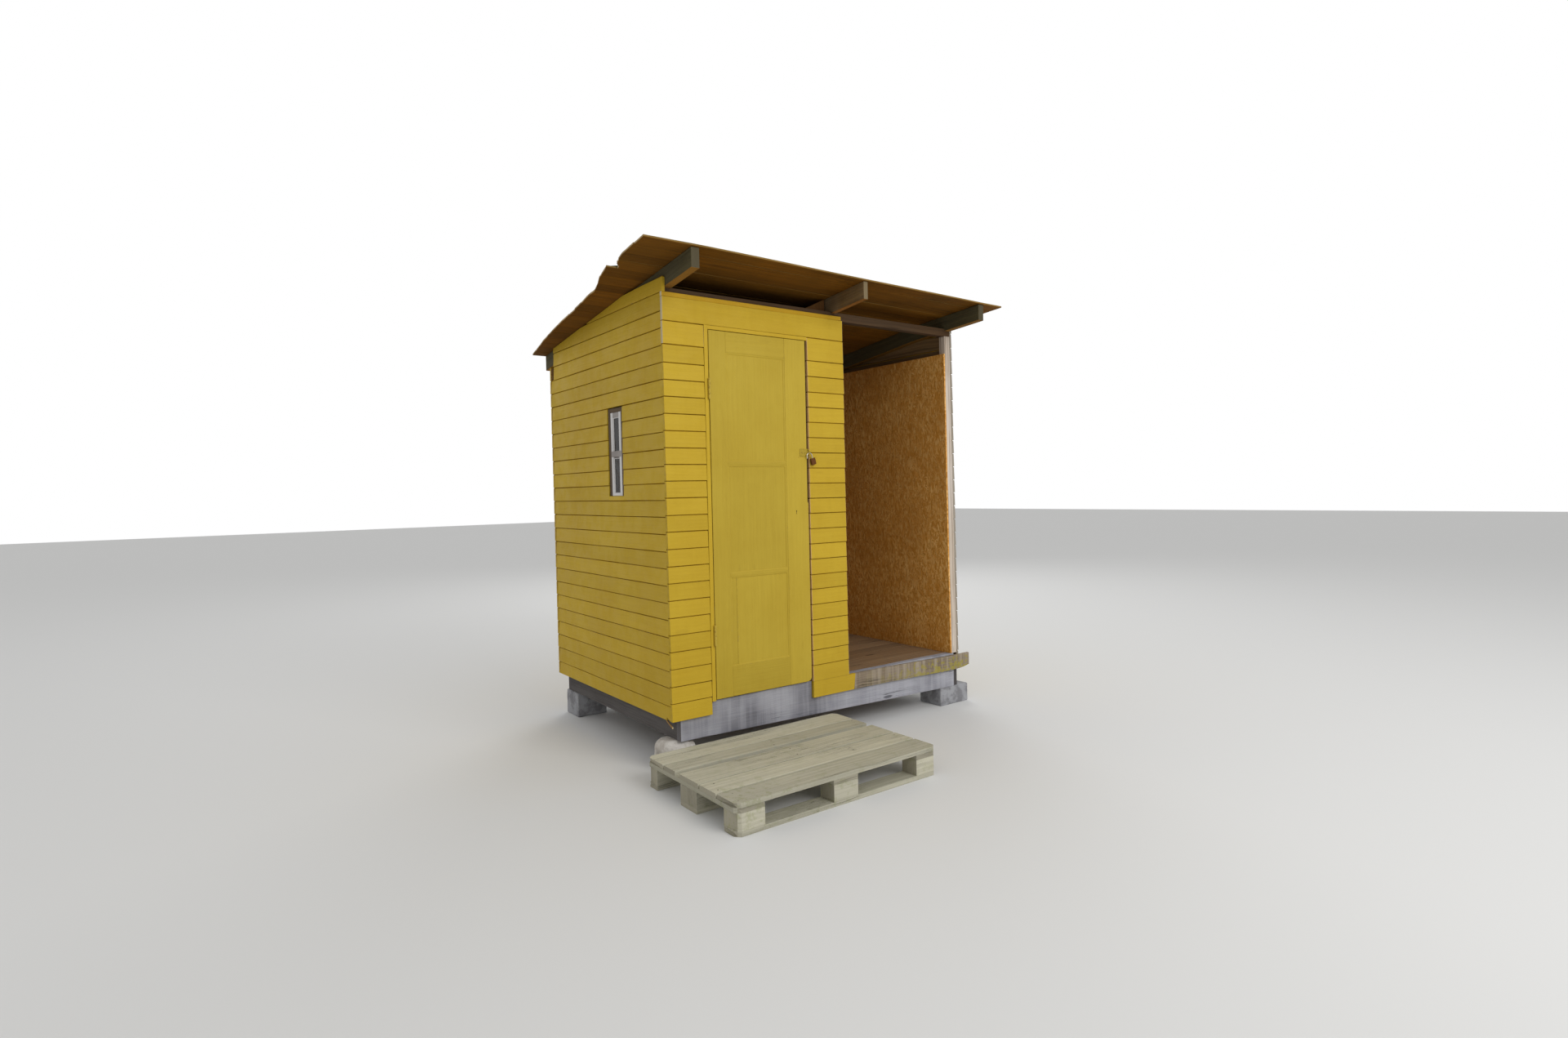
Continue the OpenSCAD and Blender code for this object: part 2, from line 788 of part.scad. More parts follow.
natural_stones();
ground_blocks();
sill_front();
sill_back();
sill_sides();
floor_joists();
cabin_floor();
bay_floor();
bottom_board_right();
wall_posts();
door_posts();
door_head();
door_stops();
window_studs();
bay_posts();
front_plate();
back_plate();
rafters();
gap_board();
front_wall_left();
front_wall_right();
fascia();
fascia_cap();
door_casing();
left_wall();
back_wall();
right_wall();
partition_wall();
strand_board();
window_lining();
window_sash();
window_glass();
door_leaf();
door_panels();
hinge_pins();
hinge_barrels();
door_hasp();
padlock_bow();
padlock_case();
roof_boards();
roof_felt();
step_deck();
step_cross_boards();
step_blocks();
step_runners();
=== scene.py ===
import bpy
import numpy as np
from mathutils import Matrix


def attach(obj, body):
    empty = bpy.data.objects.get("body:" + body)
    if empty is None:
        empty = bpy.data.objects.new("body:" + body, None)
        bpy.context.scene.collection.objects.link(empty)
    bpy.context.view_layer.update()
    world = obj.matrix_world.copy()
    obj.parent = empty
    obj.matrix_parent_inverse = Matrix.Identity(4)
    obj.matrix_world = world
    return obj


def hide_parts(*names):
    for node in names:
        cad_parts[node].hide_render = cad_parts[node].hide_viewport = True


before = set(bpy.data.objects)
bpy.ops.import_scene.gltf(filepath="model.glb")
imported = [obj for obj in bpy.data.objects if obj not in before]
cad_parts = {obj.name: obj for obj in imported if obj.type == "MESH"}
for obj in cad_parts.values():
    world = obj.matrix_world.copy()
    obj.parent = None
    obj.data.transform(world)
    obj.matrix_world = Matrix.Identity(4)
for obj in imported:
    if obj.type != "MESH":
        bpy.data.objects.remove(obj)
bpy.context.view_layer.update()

# The camera
# It stands left of the hut's front corner, 1.43 m above the ground, and looks at the door and the window
# side together through a wide lens.
lens_data = bpy.data.cameras.new("camera")
lens_data.sensor_width = 36.0
lens_data.lens = 18.624
camera = bpy.data.objects.new("camera", lens_data)
camera.location = (-2.9866, -4.0449, 1.4342)
camera.rotation_euler = np.radians((88.0466, 1.2191, -36.5958))
bpy.context.collection.objects.link(camera)
bpy.context.scene.camera = camera
bpy.context.scene.view_settings.view_transform = "Standard"

# The studio
# A plain pale floor under an even white sky, one broad soft lamp in front and a weaker one behind. The sky
# is seen as white, but it lights the hut more gently than that.
sky_strength, seen_strength = 0.62, 1.0
front_lamp_watts, back_lamp_watts, lamp_width = 330.0, 170.0, 5.0
floor_half = 40.0


def shader_node(kind, inputs=(), tree=None, **settings):
    """One shader node with its settings, its inputs filled with numbers, colours or other sockets. Without a
    tree it joins the tree of the first socket that feeds it."""
    sockets = {key: value for key, value in dict(inputs).items() if isinstance(value, bpy.types.NodeSocket)}
    tree = tree or next(iter(sockets.values())).id_data
    made = tree.nodes.new("ShaderNode" + kind)
    for key, value in settings.items():
        setattr(made, key, value)
    for key, value in dict(inputs).items():
        if key in sockets:
            tree.links.new(value, made.inputs[key])
        else:
            made.inputs[key].default_value = value
    return made.outputs


def maths(how, first, second=0.5, third=0.5):
    """One sum, product or other step on numbers."""
    return shader_node("Math", {0: first, 1: second, 2: third}, operation=how)[0]


world = bpy.data.worlds.new("studio_sky")
world.use_nodes = True
world.node_tree.nodes.clear()
ray = shader_node("LightPath", tree=world.node_tree)
seen_ray = maths("MAXIMUM", ray["Is Camera Ray"], ray["Is Glossy Ray"])
seen_ray = maths("MAXIMUM", seen_ray, ray["Is Transmission Ray"])
sky_level = shader_node("MapRange", {0: seen_ray, 3: sky_strength, 4: seen_strength})[0]
sky_light = shader_node("Background", {"Color": (1.0, 1.0, 1.0, 1.0), "Strength": sky_level})[0]
shader_node("OutputWorld", {"Surface": sky_light})
bpy.context.scene.world = world

floor_mesh = bpy.data.meshes.new("studio_floor")
floor_mesh.from_pydata([(-floor_half, -floor_half, 0), (floor_half, -floor_half, 0),
                        (floor_half, floor_half, 0), (-floor_half, floor_half, 0)], [], [(0, 1, 2, 3)])
floor_piece = bpy.data.objects.new("studio_floor", floor_mesh)
bpy.context.collection.objects.link(floor_piece)
floor_paint = bpy.data.materials.new("studio_floor")
floor_paint.use_nodes = True
floor_shader = floor_paint.node_tree.nodes["Principled BSDF"].inputs
floor_shader["Base Color"].default_value = (0.74, 0.74, 0.73, 1.0)
floor_shader["Roughness"].default_value = 0.9
floor_mesh.materials.append(floor_paint)

for lamp_name, lamp_place, lamp_target, lamp_watts in (
        ("front_lamp", (0.8, -8.4, 5.6), (0.0, -0.4, 1.1), front_lamp_watts),
        ("back_lamp", (5.0, 6.5, 6.0), (0.0, 0.3, 1.2), back_lamp_watts)):
    lamp_data = bpy.data.lights.new(lamp_name, "AREA")
    lamp_data.shape, lamp_data.size, lamp_data.energy = "DISK", lamp_width, lamp_watts
    lamp = bpy.data.objects.new(lamp_name, lamp_data)
    bpy.context.collection.objects.link(lamp)
    lamp.location = lamp_place
    sight = np.subtract(lamp_target, lamp_place)
    lamp.rotation_euler = (np.arctan2(np.hypot(sight[0], sight[1]), -sight[2]), 0.0,
                           np.arctan2(sight[1], sight[0]) - np.pi / 2)

# The stone under the front
# One rounded field stone carries the front left corner. It was picked up from the ground and laid loose.
hut_middle = np.array([1028.0, 417.5, 0.0])


def lumps(points, size, seed):
    """A smooth unevenness from -1 to 1: the mean of nine sine waves of about that size, in random
    directions."""
    waves = np.random.default_rng(seed)
    directions = waves.normal(size=(9, 3))
    directions /= np.linalg.norm(directions, axis=1)[:, None]
    lengths = size * waves.uniform(0.6, 1.7, 9)
    phases = waves.uniform(0, 2 * np.pi, 9)
    turns = (points @ (directions * (2 * np.pi / lengths[:, None])).T) + phases
    return np.sin(turns).mean(axis=-1) * 1.8


def grid_part(points, closed_across=False, closed_along=False, flip=False, colour=(0.5, 0, 0.5, 0)):
    """A surface from a grid of points: each cell is a face, wrapped round where the grid is closed. Its
    grain map holds the mean lengths along and across the grid, in metres."""
    rows, columns = points.shape[:2]
    row, column = np.meshgrid(np.arange(rows if closed_along else rows - 1),
                              np.arange(columns if closed_across else columns - 1), indexing="ij")
    next_row, next_column = (row + 1) % rows, (column + 1) % columns
    corners = [row * columns + column, row * columns + next_column, next_row * columns + next_column,
               next_row * columns + column]
    corners = np.stack(corners, axis=-1).reshape(-1, 4)
    steps = [np.linalg.norm(np.diff(points, axis=way, append=points.take([0], axis=way)), axis=-1)
             .mean(axis=1 - way) for way in (0, 1)]
    along, across = (np.concatenate([[0], np.cumsum(step)]) / 1000 for step in steps)
    uv = np.stack([along[row[..., None] + [0, 0, 1, 1]], across[column[..., None] + [0, 1, 1, 0]]], axis=-1)
    order = [0, 3, 2, 1] if flip else [0, 1, 2, 3]
    corners, uv = corners[:, order], uv.reshape(-1, 4, 2)[:, order]
    colours = np.broadcast_to(np.asarray(colour, float), (len(corners) * 4, 4))
    return points.reshape(-1, 3), np.full(len(corners), 4), corners.ravel(), uv.reshape(-1, 2), colours


def make_piece(name, parts, material, nodes=None, body="hut", smooth=False):
    """Unless it is told otherwise, the piece replaces the CAD node of its own name."""
    starts = np.cumsum([0] + [len(part[0]) for part in parts])
    parts = [(points, sizes, corners + start, uv, colours)
             for (points, sizes, corners, uv, colours), start in zip(parts, starts)]
    points, sizes, corners, uv, colours = (np.concatenate(column) for column in zip(*parts))
    mesh = bpy.data.meshes.new(name)
    mesh.vertices.add(len(points))
    mesh.vertices.foreach_set("co", ((points - hut_middle) / 1000).astype(np.float32).ravel())
    mesh.loops.add(len(corners))
    mesh.loops.foreach_set("vertex_index", corners.astype(np.int32))
    mesh.polygons.add(len(sizes))
    mesh.polygons.foreach_set("loop_start", (np.cumsum(sizes) - sizes).astype(np.int32))
    mesh.update(calc_edges=True)
    mesh.uv_layers.new(name="grain").data.foreach_set("uv", uv.astype(np.float32).ravel())
    board = mesh.color_attributes.new("board", "FLOAT_COLOR", "CORNER")
    board.data.foreach_set("color", colours.astype(np.float32).ravel())
    mesh.polygons.foreach_set("use_smooth", np.full(len(sizes), smooth))
    mesh.validate()
    mesh.materials.append(material)
    piece = bpy.data.objects.new(name, mesh)
    bpy.context.collection.objects.link(piece)
    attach(piece, body)
    nodes = [name] if nodes is None else nodes
    if nodes:
        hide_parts(*nodes)


def stone_part(low, high, squareness, roughness, seed):
    """A boulder: a ball stretched into its box, its sine and cosine raised to a power so that it grows
    squarer, then pushed in and out by lumps. Its top and foot are pressed flat where it carries and is
    carried."""
    low, high = np.asarray(low, float), np.asarray(high, float)
    turn = np.linspace(0, 2 * np.pi, 64, endpoint=False)[None, :]
    rise = np.linspace(-np.pi / 2, np.pi / 2, 34)[:, None]
    cos_turn, sin_turn, cos_rise, sin_rise = (np.sign(wave) * np.abs(wave) ** squareness for wave in (
        np.cos(turn), np.sin(turn), np.cos(rise), np.sin(rise)))
    ball = np.stack([cos_rise * cos_turn, cos_rise * sin_turn, sin_rise * np.ones_like(turn)], axis=-1)
    middle, half = (low + high) / 2, (high - low) / 2
    points = middle + ball * half * [1.0, 1.0, 1.12]
    size = half.mean()
    push = lumps(points, size * 1.5, seed) * 0.6 + lumps(points, size * 0.5, seed + 1) * 0.25
    points = points + ball * (push * roughness * size)[..., None]
    points[0], points[-1] = points[0].mean(axis=0), points[-1].mean(axis=0)
    return grid_part(np.clip(points, low, high), closed_across=True)


def srgb(colour):
    """A colour given as it looks on a screen, from 0 to 255, as the linear values that a shader takes."""
    value = np.array(colour) / 255
    linear = np.where(value <= 0.04045, value / 12.92, ((value + 0.055) / 1.055) ** 2.4)
    return (*linear.tolist(), 1.0)


def mixed(amount, first, second):
    """The second colour laid over the first by an amount. Each is a socket or a screen colour."""
    first, second = (srgb(part) if isinstance(part, tuple) else part for part in (first, second))
    return shader_node("Mix", {0: amount, 6: first, 7: second}, data_type="RGBA")[2]


def times(first, second):
    """The product of two values."""
    return maths("MULTIPLY", first, second)


def ramped(value, start, end, low=0.0, high=1.0):
    """The value taken smoothly from low to high as it goes from start to end."""
    return shader_node("MapRange", {0: value, 1: start, 2: end, 3: low, 4: high},
                       interpolation_type="SMOOTHSTEP")[0]


def noise(place, scale, detail=3.0, roughness=0.55, stretch=None):
    """Blender's noise, from 0 to 1, on a place that may first be multiplied by a factor along each axis."""
    if stretch:
        place = stretched(place, stretch)
    return shader_node("TexNoise", {"Vector": place, "Scale": scale, "Detail": detail,
                                    "Roughness": roughness})[0]


def stretched(place, factors):
    """A place multiplied by a factor along each axis."""
    return shader_node("VectorMath", {0: place, 1: factors}, operation="MULTIPLY")[0]


def new_group(name, inputs, outputs):
    """An empty shader group with named number or vector inputs and number outputs."""
    group = bpy.data.node_groups.new(name, "ShaderNodeTree")
    for title, kind in inputs:
        group.interface.new_socket(title, in_out="INPUT", socket_type="NodeSocket" + kind)
    for title in outputs:
        group.interface.new_socket(title, in_out="OUTPUT", socket_type="NodeSocketFloat")
    return group, group.nodes.new("NodeGroupInput").outputs, group.nodes.new("NodeGroupOutput").inputs


# weather: clouds, speckles and runs that every surface outdoors collects, from its place on the hut
weather, given, wanted = new_group("weather", [("Place", "Vector")],
                                   ["Clouds", "Patches", "Speckles", "Runs", "Low"])
place = given["Place"]
height = shader_node("SeparateXYZ", {0: place})["Z"]
for title, mask in (("Clouds", ramped(noise(place, 2.3, 3.0), 0.3, 0.7)),
                    ("Patches", ramped(noise(place, 14.0, 4.0, 0.6), 0.35, 0.68)),
                    ("Speckles", ramped(noise(place, 160.0, 3.0, 0.7), 0.42, 0.66)),
                    ("Runs", ramped(noise(place, 1.0, 3.0, 0.6, (34.0, 34.0, 1.6)), 0.38, 0.66)),
                    ("Low", ramped(height, 0.75, 0.1))):
    weather.links.new(mask, wanted[title])


def new_material(name):
    """A material, its Principled shader's inputs, and the place and weather that its patterns are worked out
    from."""
    material = bpy.data.materials.new(name)
    material.use_nodes = True
    tree = material.node_tree
    place = shader_node("TexCoord", tree=tree)["Object"]
    grime = shader_node("Group", {"Place": place}, tree, node_tree=weather)
    shader = tree.nodes["Principled BSDF"].inputs
    shader["Specular IOR Level"].default_value = 0.15
    return material, shader, place, grime


def finish(shader, colour, roughness, height, distance, strength=1.0):
    """Feeds the shader its colour, its roughness as a socket or a number, and a height through one Bump
    node, whose distance is in metres."""
    links = colour.id_data.links
    links.new(colour, shader["Base Color"])
    if isinstance(roughness, float):
        shader["Roughness"].default_value = roughness
    else:
        links.new(roughness, shader["Roughness"])
    bump = shader_node("Bump", {"Height": height, "Distance": distance, "Strength": strength})[0]
    links.new(bump, shader["Normal"])


def stony_material(name, pale, dark, spot, pits, grain_scale):
    """Stone or concrete: clouded from pale to dark, with darker grains, a stain low down, and pits in its
    skin."""
    material, shader, place, grime = new_material(name)
    grain = noise(place, grain_scale, 4.0, 0.7)
    body = mixed(ramped(grime["Patches"], 0.1, 0.9), pale, dark)
    body = mixed(ramped(grain, 0.56, 0.7, 0.0, 0.75), body, spot)
    body = mixed(times(grime["Low"], 0.35), body, (116, 104, 84))
    finish(shader, body, ramped(grain, 0.3, 0.7, 0.95, 0.8),
           maths("MULTIPLY_ADD", grain, 0.7, grime["Patches"]), pits)
    return material


field_stone = stony_material("field_stone", (244, 240, 234), (216, 210, 202), (170, 160, 150), 0.004, 120.0)
make_piece("field_stone", [stone_part((-26.5, 15.5, 0.0), (183.0, 221.5, 154.8), 0.82, 0.16, 5)],
           field_stone, ["natural_stones"], smooth=True)


# The concrete blocks
# Three cast concrete blocks stand on the ground, two under the back beam and one under the front right end.
# They are grey, bare and worn at their edges.
draws = np.random.default_rng(20261126)


def planks(boxes, along, face, ease=1.5, lean=0.0, steps=(), spacing=160.0, wave=0.5, bare=(), marks=(),
           ends=1.0, warp=None):
    """The boards in these boxes. Each is a rounded rectangle carried along its length: the middle of each
    corner's arc is set in by the ease, the outer face leans back from its lower edge, the end rings are
    drawn in a little, and slow sine waves bow the board. steps are extra points across, marks extra rings
    along, both in millimetres from one end, or from the other where negative. bare names the sides left
    unpainted."""
    boxes = np.asarray(boxes, float).reshape(-1, 6)
    low, high = np.minimum(boxes[:, :3], boxes[:, 3:]), np.maximum(boxes[:, :3], boxes[:, 3:])
    way, depth_way = "xyz".index(along), "xyz".index(face[1])
    ways = [3 - way - depth_way, depth_way, way]
    sign = -1.0 if face[0] == "-" else 1.0
    axes = np.eye(3)[ways] * [[1.0], [sign], [1.0]]
    start = np.where(np.eye(3)[depth_way] * sign < 0, high, low)
    wide, thick, long = (high - low)[:, ways].T[:, :, None]
    count = len(boxes)

    # the rounded rectangle, anticlockwise from its lower inner corner, with the extra points on its two faces
    turn = np.radians([180, 225, 270, 270, 315, 360, 0, 45, 90, 90, 135, 180])
    corner = np.repeat(range(4), 3)
    across = np.where(np.isin(corner, (1, 2)), wide - ease, ease) + ease * np.cos(turn)
    depth = np.where(corner > 1, thick - ease, ease) + ease * np.sin(turn)
    cuts = np.sort([[step if step >= 0 else each + step for step in steps] for each in wide[:, 0]], axis=1)
    across = np.concatenate([across[:, :3], cuts, across[:, 3:9], cuts[:, ::-1], across[:, 9:]], axis=1)
    depth = np.concatenate([depth[:, :3], cuts * 0, depth[:, 3:9], cuts * 0 + thick, depth[:, 9:]], axis=1)
    raw = np.isin(np.repeat(["back", "top", "front", "foot"], (3 + cuts.shape[1], 3) * 2), bare)
    girth = np.hypot(np.diff(across, append=across[:, :1]), np.diff(depth, append=depth[:, :1]))
    girth = np.pad(np.cumsum(girth, axis=1), ((0, 0), (1, 0)))
    leaning = depth - lean * (across / wide) * (depth / thick)

    # the rings along each board, and how it bows
    regular = max(2, int(long.max() / spacing) + 1)
    fixed = np.array([0.0, ends, *marks])
    rings = np.concatenate([np.where(fixed < 0, long + fixed, fixed), long - [0.0, ends],
                            long * np.linspace(0, 1, regular + 2)[1:-1]], axis=1)
    rings = np.sort(np.clip(rings, 0, long), axis=1)
    lengths = draws.uniform(500, 1900, (4, count, 1))
    phases = draws.uniform(0, 2 * np.pi, (4, count, 1))
    bends = wave * np.sin(2 * np.pi * rings / lengths + phases)
    bow_across, bow_depth = (bends[0] + bends[1]) / 2, (bends[2] + bends[3]) / 2
    drawn = np.zeros((1, rings.shape[1], 1))
    drawn[:, [0, -1]] = ends * 0.8
    half_a, half_b = wide[..., None] / 2, thick[..., None] / 2
    a = half_a + (across[:, None] - half_a) * (1 - drawn / half_a) + bow_across[..., None]
    b = half_b + (leaning[:, None] - half_b) * (1 - drawn / half_b) + bow_depth[..., None]
    points = (start[:, None, None] + a[..., None] * axes[0] + b[..., None] * axes[1]
              + rings[..., None, None] * axes[2])

    # the faces round and along, then the two ends
    index = np.arange(a.size).reshape(a.shape)
    following = np.roll(index, -1, axis=2)
    sides = np.stack([index[:, :-1], following[:, :-1], following[:, 1:], index[:, 1:]], axis=-1)
    shift = draws.uniform(0, 40, (2, count, 1, 1))
    u = np.broadcast_to(rings[..., None] / 1000 + shift[0], a.shape)
    v = np.broadcast_to(girth[:, None] / 1000 + shift[1], (count, rings.shape[1] - 1, girth.shape[1]))
    uv = np.stack([np.stack([u[:, :-1], u[:, :-1], u[:, 1:], u[:, 1:]], axis=-1),
                   np.stack([v[..., :-1], v[..., 1:], v[..., 1:], v[..., :-1]], axis=-1)], axis=-1)
    tone = draws.uniform(0, 1, (count, 1, 1))
    lip = 1 - across / wide
    next_lip = np.roll(lip, -1, axis=1)
    colours = np.zeros((*sides.shape, 4))
    colours[..., 0] = tone[..., None]
    colours[..., 1] = raw[:, None]
    colours[..., 2] = np.stack([lip, next_lip, next_lip, lip], axis=-1)[:, None]
    if "ends" in bare:
        colours[:, [0, -1], ..., 1::2] = 1.0
    caps = np.stack([index[:, 0, ::-1], index[:, -1]], axis=1)
    cap_uv = np.stack([across, depth], axis=-1) / 1000
    cap_uv = np.stack([cap_uv[:, ::-1], cap_uv], axis=1) + shift.reshape(2, count).T[:, None, None]
    cap_colours = np.zeros((*caps.shape, 4)) + [0.0, float("ends" in bare), 0.5, 1.0]
    cap_colours[..., 0] = tone
    if np.linalg.det(axes) < 0:
        sides, uv, colours = sides[..., ::-1], uv[..., ::-1, :], colours[..., ::-1, :]
        caps, cap_uv, cap_colours = caps[..., ::-1], cap_uv[..., ::-1, :], cap_colours[..., ::-1, :]
    points = points.reshape(-1, 3)
    if warp is not None:
        points = warp(points)
    sizes = np.repeat([4, caps.shape[-1]], [sides.size // 4, count * 2])
    return (points, sizes, np.concatenate([sides.ravel(), caps.ravel()]),
            np.concatenate([uv.reshape(-1, 2), cap_uv.reshape(-1, 2)]),
            np.concatenate([colours.reshape(-1, 4), cap_colours.reshape(-1, 4)]))


block_boxes = [(1993.5, 15.5, 0, 2256.5, 204.5, 118), (48.5, 1355.5, 0, 247.5, 1544.5, 155),
               (1898.5, 1355.5, 0, 2097.5, 1544.5, 155)]
block_middles = np.array([[148.0, 1450, 77], [1998, 1450, 77], [2125, 110, 59]])
lowest_top = 118


def chipped(points):
    """Pushes a block's skin in by its lumps, most where two of them meet, so that its edges crumble. What
    lies at the foot or above the lowest block's top isn't moved up or down."""
    bite = np.clip(lumps(points, 60, 31), 0, 1) * 2.5 + np.abs(lumps(points, 14, 32)) * 0.8
    nearest = block_middles[np.argmin(((points[:, None] - block_middles) ** 2).sum(-1), axis=1)]
    inward = nearest - points
    inward[:, 2] = np.where((points[:, 2] < 1) | (points[:, 2] > lowest_top - 1), 0, inward[:, 2])
    inward /= np.linalg.norm(inward, axis=1)[:, None] + 1e-6
    return points + inward * bite[:, None]


concrete = stony_material("concrete", (184, 188, 197), (142, 146, 156), (102, 104, 110), 0.003, 210.0)
make_piece("concrete_blocks", [planks(block_boxes, "z", "-y", ease=7, spacing=14, wave=0, ends=5,
                                      steps=[20, 50, 80, -80, -50, -20], warp=chipped)],
           concrete, ["ground_blocks"])

# The sills and joists
# Squared timbers laid flat on the stones and blocks carry the hut. The front one is planed and has gone
# blue-grey, with pale streaks where rain runs down it. The rest are rough sawn.

# wood: fibres, growth bands, knots and fine splits, from the lengths along and round a board
wood, given, wanted = new_group("wood", [("Grain", "Vector"), ("Fineness", "Float")],
                                ["Fibres", "Bands", "Knots", "Checks"])
flow = shader_node("VectorMath", {0: given["Grain"], 3: given["Fineness"]}, operation="SCALE")[0]
wander = noise(flow, 1.0, 2.0, stretch=(2.2, 5.0, 1.0))
sideways = shader_node("CombineXYZ", {1: times(wander, 0.035)})[0]
flow = shader_node("VectorMath", {0: flow, 1: sideways})[0]
cells = shader_node("TexVoronoi", {"Vector": stretched(flow, (2.4, 9.5, 1.0)), "Scale": 1.0})
chosen = shader_node("SeparateColor", {0: cells["Color"]})["Red"]
off_split = maths("ABSOLUTE", maths("SUBTRACT", noise(flow, 1.0, 1.0, 0.4, (1.4, 130.0, 1.0)), 0.5))
split_places = noise(flow, 1.0, 1.0, stretch=(1.1, 6.0, 1.0))
for title, mask in (("Fibres", noise(flow, 1.0, 4.0, 0.6, (4.0, 420.0, 1.0))),
                    ("Bands", ramped(noise(flow, 1.0, 2.0, 0.5, (0.9, 75.0, 1.0)), 0.36, 0.66)),
                    ("Knots", times(ramped(cells["Distance"], 0.13, 0.07), ramped(chosen, 0.8, 0.84))),
                    ("Checks", times(ramped(off_split, 0.012, 0.0), ramped(split_places, 0.52, 0.64)))):
    wood.links.new(mask, wanted[title])


def grain_of(place):
    """The wood group on a piece's grain map, and its board attribute as tone, raw, lip and cut."""
    tree = place.id_data
    grain = shader_node("UVMap", tree=tree, uv_map="grain")[0]
    fibres = shader_node("Group", {"Grain": grain, "Fineness": 1.0}, tree, node_tree=wood)
    board = shader_node("Attribute", tree=tree, attribute_name="board")
    parts = shader_node("SeparateColor", {0: board["Color"]})
    return fibres, parts["Red"], parts["Green"], parts["Blue"], board["Alpha"]


def toned(body, tone, darkest, palest):
    """The colour's value multiplied by a share that goes from darkest to palest with the board's tone."""
    value = shader_node("MapRange", {0: tone, 3: darkest, 4: palest})[0]
    return shader_node("HueSaturation", {"Value": value, "Color": body})[0]


def dimmed(colour, share):
    """A screen colour multiplied by a share."""
    return tuple(int(part * share) for part in colour)


def timber_material(name, pale, dark, streak, cut_end, streaks=0.5, clouds=0.4, rise=0.0012, growth=None,
                    growth_share=0.0, runs=0.0, raw_face=None, growth_along=None, tones=(0.84, 1.12)):
    """Bare wood: growth bands from pale to dark, clouds of weathering, fine fibres, knots, checks and end
    grain. The faces marked raw take their own colour. Growth lies in clouds, or climbs from the lower edge
    and thickens along X between two places in metres."""
    material, shader, place, grime = new_material(name)
    fibres, tone, raw, lip, cut = grain_of(place)
    body = mixed(times(fibres["Bands"], streaks), pale, dark)
    body = mixed(times(grime["Clouds"], clouds), body, streak)
    body = mixed(ramped(fibres["Fibres"], 0.4, 0.75, 0.0, 0.45), body, dark)
    body = mixed(times(grime["Runs"], runs), body, streak)
    body = mixed(times(fibres["Knots"], 0.7), body, dimmed(dark, 0.55))
    body = mixed(times(fibres["Checks"], 0.8), body, dimmed(dark, 0.35))
    body = mixed(times(cut, 0.85), body, cut_end)
    if raw_face is not None:
        body = mixed(times(raw, 0.85), body, raw_face)
    if growth_along is not None:
        climb = maths("MULTIPLY_ADD", ramped(noise(place, 30.0, 5.0, 0.7), 0.32, 0.68), 1.0, times(lip, 0.5))
        along_x = shader_node("SeparateXYZ", {0: place})["X"]
        spread = times(ramped(climb, 0.78, 0.98), ramped(along_x, *growth_along))
    elif growth is not None:
        spread = times(ramped(noise(place, 26.0, 4.0, 0.7), 0.5, 0.62), grime["Clouds"])
    if growth is not None:
        body = mixed(times(spread, growth_share), body, growth)
    height = maths("MULTIPLY_ADD", fibres["Fibres"], 0.6, times(fibres["Bands"], 0.35))
    finish(shader, toned(body, tone, *tones), ramped(fibres["Fibres"], 0.3, 0.7, 0.8, 0.92),
           maths("SUBTRACT", height, times(fibres["Checks"], 1.2)), rise)
    return material


def solids(*nodes):
    """The box of each separate solid of these CAD nodes, in the hut's millimetres: corners at one place are
    joined, and each keeps the lowest number that its triangles reach."""
    found = []
    for node in nodes:
        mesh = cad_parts[node].data
        points = np.empty(len(mesh.vertices) * 3)
        mesh.vertices.foreach_get("co", points)
        points = points.reshape(-1, 3) * 1000 + hut_middle
        mesh.calc_loop_triangles()
        triangles = np.empty(len(mesh.loop_triangles) * 3, np.int32)
        mesh.loop_triangles.foreach_get("vertices", triangles)
        places, joined = np.unique(np.round(points * 20), axis=0, return_inverse=True)
        triangles = joined.ravel()[triangles.reshape(-1, 3)]
        label, before = np.arange(len(places)), None
        while before is None or (label != before).any():
            before = label.copy()
            np.minimum.at(label, triangles.ravel(), np.repeat(before[triangles].min(axis=1), 3))
        found += [(*(places[label == one].min(axis=0) / 20), *(places[label == one].max(axis=0) / 20))
                  for one in np.unique(label)]
    return found


def board_piece(name, along, face, material, slot_name, nodes=None, boxes=None, body="hut", **shape):
    """A piece whose boards all lie the same way: the boxes given, or else the solids of its CAD nodes."""
    boxes = boxes or solids(*(nodes or [name]))
    make_piece(name, [planks(boxes, along, face, **shape)], material, nodes, body)


sill_top, sill_foot_left, sill_foot_right = 338.0, 155.0, 118.0
stone_edge, block_edge = 205, 1993


def deeper_right(points):
    """Tapers the front sill: its depth grows in step with X from the stone at the left to the block at the
    right."""
    share = np.clip((points[:, 0] - stone_edge) / (block_edge - stone_edge), 0, 1)
    foot = sill_foot_left - (sill_foot_left - sill_foot_right) * share
    points[:, 2] = sill_top - (sill_top - points[:, 2]) * (sill_top - foot) / (sill_top - sill_foot_right)
    return points


